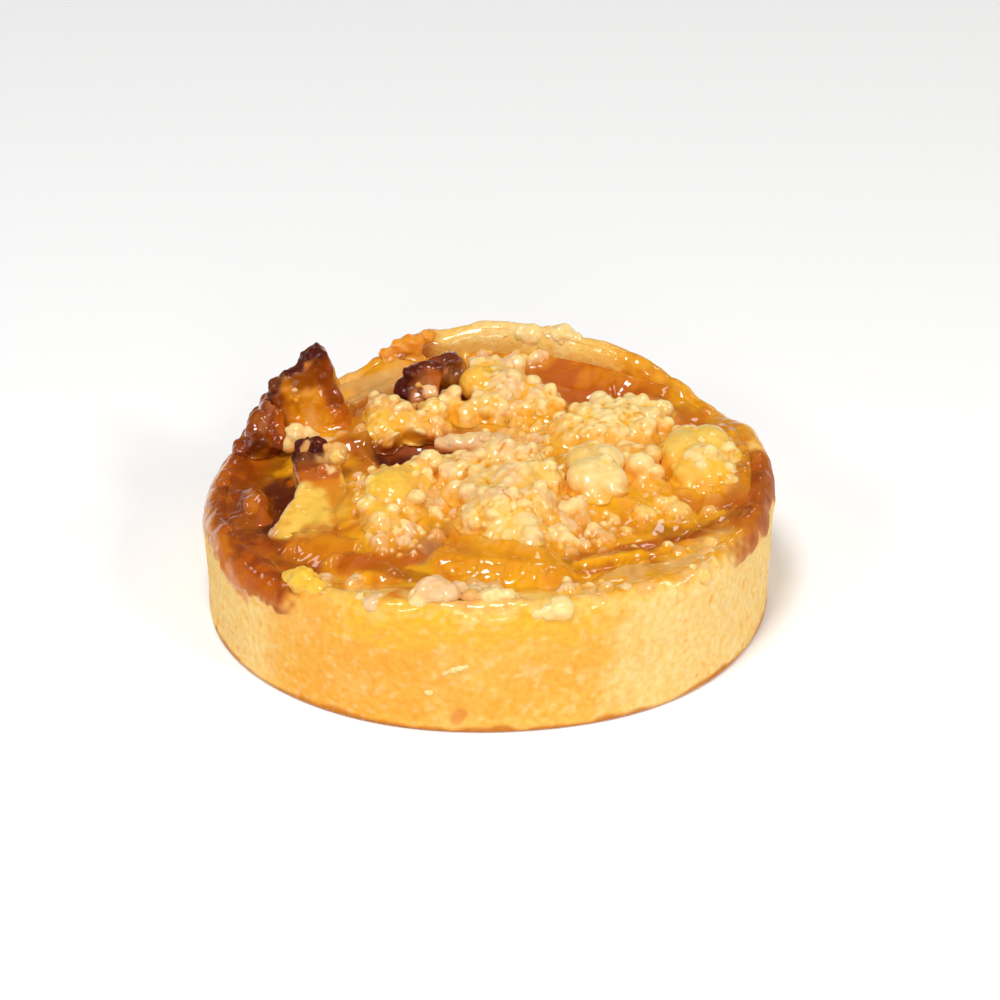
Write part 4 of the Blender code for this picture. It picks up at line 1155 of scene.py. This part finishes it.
def melt(tint, places, colours):
    """Runs glaze over the line between the filling and the rim."""
    degrees = np.degrees(np.arctan2(places[:, 1], places[:, 0])) % 360
    reach = np.hypot(places[:, 0], places[:, 1])
    waver = waves(places, "melt_edge")
    ring = ease((reach - MELT_FROM + 1.2 * waver) / 3.0) * (1 - ease((reach - MELT_TO + 0.9 * waver) / 1.2))
    pattern = ease(0.5 + 1.2 * noise(places * (1, 1, 0.3), 2.8, 38) + 0.5 * noise(places, 1.1, 39))
    for start, end, first, second, strength in MELTS:
        mask = ring * round_mask(degrees, start, end, waver) * (places[:, 2] > FLOOR + 8)
        colour = colours[first] + (colours[second] - colours[first]) * pattern[:, None]
        tint = blend_to(tint, colour, mask * strength)
    return tint


def band_mask(degrees, outside, band, waver):
    """Where a band of colour covers the rim."""
    start, end, out, inside, _, _ = band
    round_the_case = round_mask(degrees, start, end, waver)
    over = 1 - ease((outside - out + 1.8 * waver) / BAND_FADE + 0.5)
    under = 1 - ease((-outside - inside + 1.5 * waver) / BAND_FADE + 0.5)
    return round_the_case * over * under


class TART_OT_case(bpy.types.Operator):
    """Bake the shortcrust case: its sandy wall, its browned base edge, and caramel run over the rim"""

    bl_idname = "tart.case"
    bl_label = "Case"

    def execute(self, context):
        """Makes the case."""
        colours = palette(context)
        steps = context.scene.tart_sizes.steps_round
        places, angle, outside, rings = case_grid(steps)
        mesh = make_mesh("crust_case", places, ring_faces(rings, steps))
        degrees = np.degrees(angle) % 360
        waver = waves(places, "band_edge")
        tint = np.tile(colours["pastry"], (len(places), 1))
        tint = blend_to(tint, colours["pastry_pale"], 0.5 * patches(places, 7.0, 14, level=0))
        tint = blend_to(tint, colours["pastry_orange"], 0.5 * patches(places, 5.0, 12, level=0))
        caramel = np.zeros(len(places))
        for band in RIM_BANDS:
            mask = band_mask(degrees, outside, band, waver)
            tint = blend_to(tint, colours[band[4]], mask * band[5])
            if band[4] in CARAMELS:
                caramel = np.maximum(caramel, mask)
            else:
                caramel = caramel * (1 - mask)

        wall = ease((places[:, 2] - 0.3) / 2.0)
        sandy = ease((outside - 1.0) / 2.0) * (1 - caramel)
        shift = wall * (waves(places, "wall_swell") - WALL_SINK)
        shift += wall * sandy * waves(places, "wall_sand")
        washed = round_mask(degrees, *WASHED_DEGREES, waver) * ease((8.0 - outside) / 3.0)
        shift += wall * washed * (0.20 * noise(places * (1, 1, 2), 2.6, 48) + 0.12 * noise(places, 1.1, 49))
        shift -= wall * 0.12 * ease((noise(places, 1.5, 5) - 0.58) / 0.2) * sandy
        crest = ease((4.0 - np.abs(outside)) / 3.0)
        shift += crest * waves(places, "rim_crest")
        shift += caramel * (CARAMEL_THICKNESS - 0.16 * np.abs(noise(places, 1.8, 16)))
        moved = places + normals_of(mesh) * shift[:, None]
        low, high = np.array([corner[:2] for corner in CAD_BOX]) / MM
        moved[:, :2] = np.clip(moved[:, :2], low + BOX_GAP, high - BOX_GAP)
        set_places(mesh, moved)

        spots = ease((waves(places, "pale_spots") - 0.25) / 0.5)
        tint = blend_to(tint, colours["crumb_cream"], 0.4 * spots * sandy)
        dusk = ease((waves(places, "caramel_dusk") - 0.1) / 0.6) * caramel
        tint = blend_to(tint, colours["toffee"], 0.65 * dusk)
        glow = 0.6 * ease((noise(places, 4.2, 19) - 0.1) / 0.5) * caramel
        tint = blend_to(tint, colours["amber"], 0.5 * glow)
        tint[:, 3] *= 1 - 0.25 * caramel * patches(places, 2.0, 20, 1.4)
        tint[:, 3] *= 1 - 0.6 * caramel * ease((outside - 0.5) / 2.0)
        tint = melt(tint, moved, colours)
        pits = ease((noise(places, 0.9, 5) - 0.55) / 0.2) * sandy
        tint = blend_to(tint, colours["pastry_orange"], 0.6 * pits)
        tint = paint(tint, places, WALL_STROKES, colours)
        edge = 1 - ease((places[:, 2] - 0.5 - waves(places, "base_edge")) / 0.9)
        tint = blend_to(tint, colours["edge_brown"], 0.85 * edge)
        store_tint(mesh, tint)
        piece = make_object("crust_case", mesh, context)
        dress(piece, ["crust"], food_material("shortcrust"))
        return {"FINISHED"}


def disc_grid(steps, radius):
    """A square grid of points bent into a disc."""
    line = np.linspace(-1, 1, steps)
    across, up = np.meshgrid(line, line, indexing="ij")
    flat = np.abs(across) > np.abs(up)
    safe_across = np.where(np.abs(across) < TINY, TINY, across)
    safe_up = np.where(np.abs(up) < TINY, TINY, up)
    turn = np.where(flat, math.pi / 4 * up / safe_across, math.pi / 2 - math.pi / 4 * across / safe_up)
    reach = np.where(flat, across, up) * radius
    return (reach * np.cos(turn)).ravel(), (reach * np.sin(turn)).ravel()


def disc_faces(steps):
    """Faces of a square grid, its sides down to a second ring, and a flat face below."""
    index = np.arange(steps * steps).reshape(steps, steps)
    corners = [index[:-1, :-1], index[1:, :-1], index[1:, 1:], index[:-1, 1:]]
    faces = np.stack([corner.ravel() for corner in corners], axis=1).tolist()
    ring = [*index[:-1, 0], *index[-1, :-1], *index[:0:-1, -1], *index[0, :0:-1]]
    below = [steps * steps + place for place in range(len(ring))]
    for place in range(len(ring)):
        after = (place + 1) % len(ring)
        faces.append([int(ring[after]), int(ring[place]), below[place], below[after]])
    faces.append(below[::-1])
    return faces, [int(value) for value in ring]


def distance_field(places, nodes, reach):
    """How far places are from nodes of the frame in millimetres, up to a reach."""
    points, faces = joined([cad_arrays(node) for node in nodes])
    tree = BVHTree.FromPolygons(points.tolist(), faces.tolist())
    found = np.full(len(places), reach)
    for index, place in enumerate(places):
        distance = tree.find_nearest(Vector(place), reach)[3]
        if distance is not None:
            found[index] = distance
    return found


def slice_reach(x, y, entry):
    """How far places are from the middle of a slice: 1 at its edge."""
    centre_x, centre_y, length, width, turn = entry[:5]
    cosine = math.cos(math.radians(turn))
    sine = math.sin(math.radians(turn))
    along = ((x - centre_x) * cosine + (y - centre_y) * sine) / length
    across = (-(x - centre_x) * sine + (y - centre_y) * cosine) / width + 0.35 * along ** 2
    return np.hypot(along, across), across


def edge_height(x, y, height):
    """Where the filling climbs to at the rim."""
    crest = rim_height(np.arctan2(y, x))
    target = np.minimum(crest - EDGE_UNDER_CREST, height + EDGE_CLIMB)
    share = ease((np.hypot(x, y) - EDGE_CLIMB_FROM) / (INNER_RADIUS + 1 - EDGE_CLIMB_FROM))
    return height + (target - height) * share


class TART_OT_filling(bpy.types.Operator):
    """Pour the filling: apple in caramel, with slices under the glaze, and glaze that climbs the toppings"""

    bl_idname = "tart.filling"
    bl_label = "Filling"

    def execute(self, context):
        """Makes the filling."""
        colours = palette(context)
        sizes = context.scene.tart_sizes
        steps = sizes.bed_steps
        x, y = disc_grid(steps, INNER_RADIUS + EDGE_OVER_RIM)
        flat = np.column_stack([x, y, np.zeros(len(x))])
        waver = waves(flat, "slice_edge")
        height = filling_height(x, y)
        tint = np.tile(colours["amber"], (len(flat), 1))
        tint = blend_to(tint, colours["honey"], patches(flat, 5.5, 24))
        for entry in BURIED_SLICES:
            reach, across = slice_reach(x, y, entry)
            inside = 1 - ease((reach + waver - 0.55) / 0.6)
            height += entry[5] * inside * (1 - 0.3 * across)
            tint = blend_to(tint, colours[entry[6]], 0.75 * (1 - ease((reach + waver - 0.6) / 0.45)))
            outline = 0.0 if entry[6] == "apple_bright" else 0.4
            tint = blend_to(tint, colours["toffee"], outline * np.exp(-((reach + waver - 1.0) / 0.11) ** 2))
        tint = paint(tint, flat, [
            ((*start, 0), (*end, 0), radius, colour, strength)
            for start, end, radius, colour, strength in FILLING_STROKES
        ], colours)
        height = edge_height(x, y, height)
        height += waves(flat, "filling_ripples")
        height -= 0.04 * np.abs(noise(flat * (1.0, 0.6, 1.0), 1.9, 28))
        for bubble_x, bubble_y, radius in BUBBLES:
            reach = np.hypot(x - bubble_x, y - bubble_y) / radius
            height += 0.6 * radius * np.sqrt(np.clip(1 - reach ** 2, 0, 1))
        sunken = np.zeros(len(x))
        crumb_tint = tint.copy()
        crumb_mask = np.zeros(len(x))
        lumpy = waves(flat, "crumb_edge")
        for crumb_x, crumb_y, radius, colour in [*scattered_crumbs(sizes, False), *BED_CRUMBS]:
            near = np.flatnonzero(np.abs(x - crumb_x) + np.abs(y - crumb_y) < 3 * radius)
            reach = np.hypot(x[near] - crumb_x, y[near] - crumb_y) / radius + lumpy[near]
            bump = np.clip(1 - (reach / 1.2) ** 2, 0, 1) ** 0.8
            sunken[near] = np.maximum(sunken[near], 0.9 * radius * bump)
            tint[near] = blend_to(tint[near], colours["honey"], 0.4 * np.exp(-(reach / 1.6) ** 2))
            crumb_tint[near] = blend_to(crumb_tint[near], colours[colour], 4 * bump)
            crumb_mask[near] = np.maximum(crumb_mask[near], bump)
        height += sunken

        surface = np.column_stack([x, y, height])
        crumble = [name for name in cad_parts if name.startswith("crumble")]
        apple = [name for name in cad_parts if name.startswith("apple") and name != "apple_slice_front"]
        to_crumble = distance_field(surface, crumble, NEAR_REACH)
        nearest = np.minimum(to_crumble, distance_field(surface, apple, NEAR_REACH))
        outside_hollows = np.ones(len(x))
        for hollow_x, hollow_y, radius in HOLLOWS:
            outside_hollows *= ease((np.hypot(x - hollow_x, y - hollow_y) - radius) / 3.0)
        beside = np.exp(-(to_crumble / 2.6) ** 2)
        bank = sizes.bank * beside * outside_hollows
        climb = sizes.meniscus * (0.2 + 0.8 * outside_hollows) - 0.4 * bank
        surface[:, 2] += bank + climb * np.exp(-nearest / 0.6)
        grainy = np.exp(-(to_crumble / 3.0) ** 2) * bank / sizes.bank
        surface[:, 2] += 0.30 * grainy * waves(flat, "bank_grain")
        faces, ring = disc_faces(steps)
        below = surface[ring]
        below[:, 2] = FILLING_BOTTOM
        mesh = make_mesh("filling_caramel", np.concatenate([surface, below]), faces)

        streaks = noise(flat * (1.0, 0.35, 1.0), 1.3, 25)
        tint = blend_to(tint, colours["caramel"], 0.3 * ease(streaks))
        sunny = ease((x + 14.0) / 8.0) * ease((18.0 - y) / 10.0)
        tint = blend_to(tint, colours["honey"], (0.45 + 0.45 * sunny) * beside * outside_hollows)
        tint = blend_to(tint, colours["crumb_tan"], 0.6 * grainy * ease(noise(flat, 1.5, 33) * 1.6))
        tint = melt(tint, surface, colours)
        tint = blend_to(tint, colours["caramel"], 0.5 * np.exp(-nearest / 0.35))
        tint += (crumb_tint - tint) * (0.9 * ease(1.4 * crumb_mask - 0.25))[:, None]
        tint = np.concatenate([tint, np.tile(colours["caramel"], (len(ring), 1))])
        store_tint(mesh, tint)
        piece = make_object("filling_caramel", mesh, context)
        dress(piece, ["filling"], food_material("caramel_glaze"))
        return {"FINISHED"}


def scattered_crumbs(sizes, on_rim):
    """The small crumbs on the rim or the filling: x, y, radius and colour."""
    draw = np.random.default_rng(CRUMB_SEED)
    crumbs = []
    for x, y, reach_x, reach_y, count in CRUMB_ZONES:
        for shift_x, shift_y in draw.normal(size=(count, 2)) * (reach_x / 2, reach_y / 2):
            share = draw.random() ** CRUMB_FEW_LARGE
            radius = sizes.crumb_smallest + (sizes.crumb_largest - sizes.crumb_smallest) * share
            colour = ZONE_COLOURS[draw.integers(len(ZONE_COLOURS))]
            from_centre = math.hypot(x + shift_x, y + shift_y)
            if from_centre < CRUMBS_REACH and (from_centre > INNER_RADIUS + 0.5) == on_rim:
                crumbs.append((x + shift_x, y + shift_y, radius, colour))
    return crumbs


def laid_on(name, crumbs, sink):
    """Crumbs with the height of a piece under each, sunk by a share of their radius."""
    tree = tree_of(name)
    return [
        (x, y, height_under(tree, x, y) - sink * radius, radius, colour) for x, y, radius, colour in crumbs
    ]


def ellipsoid_arrays(place, half_sizes, turn=0):
    """Points and faces of an ellipsoid turned about the upright."""
    unit, faces = unit_ball(3)
    cosine = math.cos(math.radians(turn))
    sine = math.sin(math.radians(turn))
    spin = np.array([[cosine, sine, 0], [-sine, cosine, 0], [0, 0, 1]])
    return (unit * half_sizes) @ spin + place, faces


class TART_OT_apple(bpy.types.Operator):
    """Lay the pieces of apple, with burnt tips and glazed faces"""

    bl_idname = "tart.apple"
    bl_label = "Apple"

    def execute(self, context):
        """Makes each piece of apple."""
        colours = palette(context)
        voxel = context.scene.tart_sizes.apple_voxel
        for index, (node, slot, main, strokes) in enumerate(APPLE_PIECES):
            parts = [welded(*cad_arrays(node))]
            parts += [ellipsoid_arrays(*lump) for lump in APPLE_LUMPS.get(node, ())]
            piece = voxel_union(node + "_glazed", parts, voxel, context)
            mesh = piece.data
            smooth(mesh, 5)
            places = places_of(mesh)
            burnt = marked(places, strokes, CHARRED)
            shift = CALM.get(node, 1) * waves(places, "apple_skin", index)
            shift += LUMPY.get(node, 0) * waves(places, "apple_lumps", index)
            shift += 0.7 * marked(places, strokes, GRAINY) * bumps(places, 46 + index)
            shift += burnt * waves(places, "char", index)
            moved = places + normals_of(mesh) * shift[:, None]
            moved[:, 2] = np.minimum(moved[:, 2], CAD_BOX[1][2] / MM - BOX_GAP)
            if node in SUNK_EDGES:
                reach = slice_reach(places[:, 0], places[:, 1], SUNK_EDGES[node])[0]
                moved[:, 2] -= EDGE_SINK * ease((reach - 0.35) / 0.65)
            set_places(mesh, moved)
            flare_foot(mesh)
            tint = np.tile(colours[main], (len(places), 1))
            tint = blend_to(tint, colours["honey"], 0.4 * patches(places, 3.0, 41, level=0))
            streaks = patches(places * (1.0, 1.0, 0.3), 0.9, 42, level=0)
            tint = blend_to(tint, colours["caramel"], 0.3 * streaks)
            tint = paint(tint, places, strokes, colours)
            tint = blend_to(tint, colours["caramel"], 0.3 * burnt * patches(places, 1.1, 43, 2, -0.6))
            store_tint(mesh, tint)
            dress(piece, [node], food_material("glazed_apple"))
        return {"FINISHED"}


def lump_reach(places, lump):
    """How far places are from the middle of a lump: 1 on its skin."""
    return np.linalg.norm((np.asarray(places) - lump[0]) / lump[1], axis=-1)


def crumble_tint(mesh, main, second, lumps, colours):
    """Pale beads, with glaze gathered between them, and painted shade that darkens the fine creases."""
    places = places_of(mesh)
    tint = np.tile(colours[main], (len(places), 1))
    tint = blend_to(tint, colours[second], patches(places, 3.6, 71, 1.4))
    tint = blend_to(tint, colours["crumb_orange"], 0.35 * patches(places, 2.6, 72, 1.5, -0.4))
    fine = hollowness(mesh, FINE_ROUNDS)
    fine /= fine.std()
    broad = hollowness(mesh, BROAD_ROUNDS)
    broad /= broad.std()
    tint = blend_to(tint, colours["crumb_yellow"], 0.7 * ease(broad * 0.8 + 0.5))
    tint = blend_to(tint, colours["crumb_cream"], 0.85 * ease(-fine * 0.6 - 0.05) * ease(0.95 - broad * 0.6))
    # Tan in the fine hollows: glaze gathered there, and painted shade
    tint = blend_to(tint, colours["crumb_tan"], 0.6 * ease(fine * 0.6 - 0.1))
    tint = blend_to(tint, colours["honey"], 0.9 * ease(broad * 0.7 - 0.05))
    pooled = patches(places, 3.0, 76, 1.7, -0.1) * ease(0.45 + fine * 0.6)
    tint = blend_to(tint, colours["honey"], 0.75 * pooled)
    # Amber in the fine creases: glaze gathered there, darkened further as painted shade
    glaze_and_shade_in_creases = ease(fine * 0.8 - 0.35) * patches(places, 2.8, 74, 1.5, 0.75)
    tint = blend_to(tint, colours["amber"], 0.9 * glaze_and_shade_in_creases)
    for lump in lumps:
        middle, half_sizes, colour = lump
        near = 1 - ease((lump_reach(places, lump) - 1) * min(half_sizes) / 0.5)
        sunken = ease((middle[2] - places[:, 2]) / half_sizes[2] + 0.2)
        tint = blend_to(tint, colours[colour], 0.75 * near)
        tint = blend_to(tint, colours["honey"], 0.7 * near * sunken)
    above = places[:, 2] - filling_height(places[:, 0], places[:, 1])
    low = 1 - ease((above - 1.6 + 1.2 * noise(places, 1.6, 73)) / 2.4)
    tint = blend_to(tint, colours["honey"], 0.85 * low)
    return paint(tint, places, CRUMBLE_STROKES, colours)


class TART_OT_crumble(bpy.types.Operator):
    """Scatter the clusters of crumble: lumps covered in beads, with glaze between them"""

    bl_idname = "tart.crumble"
    bl_label = "Crumble"

    def execute(self, context):
        """Makes each cluster."""
        colours = palette(context)
        voxel = context.scene.tart_sizes.crumble_voxel
        for index, (node, main, second, density, sizes, bump, fill) in enumerate(CLUSTERS):
            draw = np.random.default_rng(100 + index)
            places, faces = welded(*cad_arrays(node))
            lumps = SMOOTH_LUMPS.get(node, ())
            beads = [
                (spot, radius) for spot, radius in beads_over(places, faces, density, sizes, draw)
                if all(lump_reach(spot, lump) > 1 + 0.3 * radius / min(lump[1]) for lump in lumps)
            ]
            parts = [(places, faces), ball_arrays(beads, draw)]
            parts += [ellipsoid_arrays(*lump[:2]) for lump in lumps]
            piece = voxel_union(node + "_beads", parts, voxel, context)
            mesh = piece.data
            moved = places_of(mesh)
            for place, radius, way in DENTS.get(node, ()):
                near = 1 - ease(np.linalg.norm(moved - place, axis=1) / radius)
                moved += near[:, None] * way
            set_places(mesh, moved)
            smooth(mesh, 6)
            fill_hollows(mesh, BROAD_ROUNDS, 0.8 * fill)
            fill_hollows(mesh, 2 * FINE_ROUNDS, fill)
            moved = places_of(mesh)
            plain = np.zeros(len(moved))
            for lump in lumps:
                plain = np.maximum(plain, 1 - ease((lump_reach(moved, lump) - 1) * min(lump[1]) / 0.6))
            push(mesh, bump * (1 - 0.7 * plain) * bumps(moved, 75 + index))
            tint = crumble_tint(mesh, main, second, lumps, colours)
            fill_hollows(mesh, GLAZE_ROUNDS, CREASE_FILL)
            smooth(mesh, 2)
            push(mesh, waves(places_of(mesh), "glaze_ripple"))
            flare_foot(mesh)
            store_tint(mesh, tint)
            dress(piece, [node], food_material("glazed_crumble"))
        return {"FINISHED"}


def shares_of(places, balls, tints):
    """The tint, height and radius of the balls nearest each place, blended where balls meet."""
    total = np.zeros((len(places), 6))
    weights = np.zeros(len(places))
    for (middle, radius), tint in zip(balls, tints):
        gap = np.linalg.norm(places - middle, axis=1) - radius
        near = np.flatnonzero(gap < 2.5)
        weight = np.exp(-gap[near] / 0.3)
        total[near] += weight[:, None] * np.array([*tint, middle[2], radius])
        weights[near] += weight
    total /= np.maximum(weights, TINY)[:, None]
    return total[:, :4], total[:, 4], total[:, 5]


def crumb_piece(name, crumbs, node, seed, context):
    """Single crumbs, each a ball with beads on it, joined into one piece."""
    colours = palette(context)
    sizes = context.scene.tart_sizes
    draw = np.random.default_rng(seed)
    balls = [(np.array(crumb[:3]), crumb[3]) for crumb in crumbs]
    beads = []
    for place, radius in balls:
        for _ in range(int(BEADS_PER_MM * radius)):
            way = draw.normal(size=3)
            way[2] = abs(way[2])
            way /= np.linalg.norm(way)
            size = radius * draw.uniform(*BEAD_SHARE)
            beads.append((place + way * (radius - 0.6 * size), size))
    piece = voxel_union(name, [ball_arrays(balls + beads, draw)], sizes.crumble_voxel, context)
    mesh = piece.data
    smooth(mesh, 3)
    relief = bumps(places_of(mesh), seed)
    push(mesh, CRUMB_BUMP * (relief - relief.mean()))
    places = places_of(mesh)
    tint, middle, size = shares_of(places, balls, [colours[crumb[4]] for crumb in crumbs])
    tint = blend_to(tint, colours["honey"], 0.7 * ease(hollowness(mesh, FINE_ROUNDS) / 0.16 - 0.05))
    tint = blend_to(tint, colours["honey"], 0.6 * ease((middle - places[:, 2]) / size + 0.3))
    fill_hollows(mesh, GLAZE_ROUNDS, 1.0)
    smooth(mesh, 2)
    flare_foot(mesh)
    store_tint(mesh, tint)
    dress(piece, [node], food_material("glazed_crumble"))


class TART_OT_crumbs(bpy.types.Operator):
    """Drop the single crumbs, on the rim and on the filling"""

    bl_idname = "tart.crumbs"
    bl_label = "Single crumbs"

    def execute(self, context):
        """Makes the crumbs."""
        sizes = context.scene.tart_sizes
        on_rim = laid_on("crust_case", scattered_crumbs(sizes, True), CRUMB_SINK)
        crumb_piece("rim_crumbs", [*RIM_CRUMBS, *on_rim], "crust", 201, context)
        for index, (node, crumbs) in enumerate(APPLE_CRUMBS.items()):
            crumb_piece(node + "_crumbs", crumbs, node, 241 + index, context)
        return {"FINISHED"}


def area_light(name, place, size, power, colour, context):
    """A round light that faces the tart."""
    light = bpy.data.lights.new(name, "AREA")
    light.shape = "DISK"
    light.size = size
    light.energy = power
    light.color = colour
    lamp = bpy.data.objects.new(name, light)
    context.scene.collection.objects.link(lamp)
    lamp.location = place
    lamp.rotation_euler = (Vector(LIT_PLACE) - lamp.location).to_track_quat("-Z", "Y").to_euler()


class TART_OT_stage(bpy.types.Operator):
    """Set the stage: a plain pale floor, soft light, and the camera"""

    bl_idname = "tart.stage"
    bl_label = "Stage"

    def execute(self, context):
        """Makes the floor, the lights and the camera."""
        scene = context.scene
        stage = scene.tart_stage
        shape = bmesh.new()
        bmesh.ops.create_grid(shape, x_segments=1, y_segments=1, size=FLOOR_REACH)
        mesh = bpy.data.meshes.new("floor")
        shape.to_mesh(mesh)
        shape.free()
        floor = make_object("floor", mesh, context)
        material = bpy.data.materials.new("floor")
        material.use_nodes = True
        shader = material.node_tree.nodes["Principled BSDF"]
        shader.inputs["Base Color"].default_value = (*stage.floor, 1)
        shader.inputs["Roughness"].default_value = FLOOR_ROUGHNESS
        shader.inputs["Emission Color"].default_value = (1, 1, 1, 1)
        shader.inputs["Emission Strength"].default_value = stage.glow
        mesh.materials.append(material)
        world = bpy.data.worlds.new("studio")
        world.use_nodes = True
        nodes = world.node_tree.nodes
        links = world.node_tree.links
        where = nodes.new("ShaderNodeTexCoord")
        height = nodes.new("ShaderNodeSeparateXYZ")
        ramp = nodes.new("ShaderNodeValToRGB")
        while len(ramp.color_ramp.elements) < len(SKY_BANDS):
            ramp.color_ramp.elements.new(1.0)
        for element, (elevation, brightness) in zip(ramp.color_ramp.elements, SKY_BANDS):
            element.position = math.sin(math.radians(elevation))
            element.color = (brightness, brightness, brightness, 1)
        links.new(where.outputs["Generated"], height.inputs["Vector"])
        links.new(height.outputs["Z"], ramp.inputs["Fac"])
        links.new(ramp.outputs["Color"], nodes["Background"].inputs["Color"])
        nodes["Background"].inputs["Strength"].default_value = stage.sky
        scene.world = world
        for name, place, size, power, colour in LAMPS:
            area_light(name, place, size, stage.light * power, colour, context)
        camera = bpy.data.cameras.new("camera")
        camera.lens = stage.lens
        camera.sensor_width = 36
        camera.clip_start = 0.01
        view = bpy.data.objects.new("camera", camera)
        scene.collection.objects.link(view)
        target = Vector(CAMERA_TARGET)
        back = Vector((0, -math.cos(stage.elevation), math.sin(stage.elevation)))
        view.location = target + back * stage.distance
        view.rotation_euler = (-back).to_track_quat("-Z", "Y").to_euler()
        scene.camera = view
        scene.view_settings.view_transform = "Standard"
        return {"FINISHED"}


OPERATORS = (TART_OT_stage, TART_OT_case, TART_OT_filling, TART_OT_apple, TART_OT_crumble, TART_OT_crumbs)


class TART_PT_panel(bpy.types.Panel):
    """Lists the steps that build the tart"""

    bl_idname = "TART_PT_panel"
    bl_label = "Apple tart"
    bl_space_type = "VIEW_3D"
    bl_region_type = "UI"
    bl_category = "Tart"

    def draw(self, context):
        """Draws the buttons, then the settings."""
        for operator in OPERATORS:
            self.layout.operator(operator.bl_idname)
        for group in (context.scene.tart_sizes, context.scene.tart_colours, context.scene.tart_stage):
            for setting in group.bl_rna.properties:
                if setting.identifier not in ("rna_type", "name"):
                    self.layout.prop(group, setting.identifier)


CLASSES = (TartColours, TartSizes, TartStage, *OPERATORS, TART_PT_panel)


def register():
    """Registers the classes and their settings."""
    for item in CLASSES:
        bpy.utils.register_class(item)
    bpy.types.Scene.tart_colours = PointerProperty(type=TartColours)
    bpy.types.Scene.tart_sizes = PointerProperty(type=TartSizes)
    bpy.types.Scene.tart_stage = PointerProperty(type=TartStage)


def unregister():
    """Removes the settings and the classes."""
    del bpy.types.Scene.tart_stage
    del bpy.types.Scene.tart_sizes
    del bpy.types.Scene.tart_colours
    for item in reversed(CLASSES):
        bpy.utils.unregister_class(item)


def main():
    """Builds the tart and its stage."""
    register()
    bpy.ops.tart.stage()
    bpy.ops.tart.case()
    bpy.ops.tart.filling()
    bpy.ops.tart.apple()
    bpy.ops.tart.crumble()
    bpy.ops.tart.crumbs()
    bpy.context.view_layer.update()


if __name__ == "__main__":
    main()
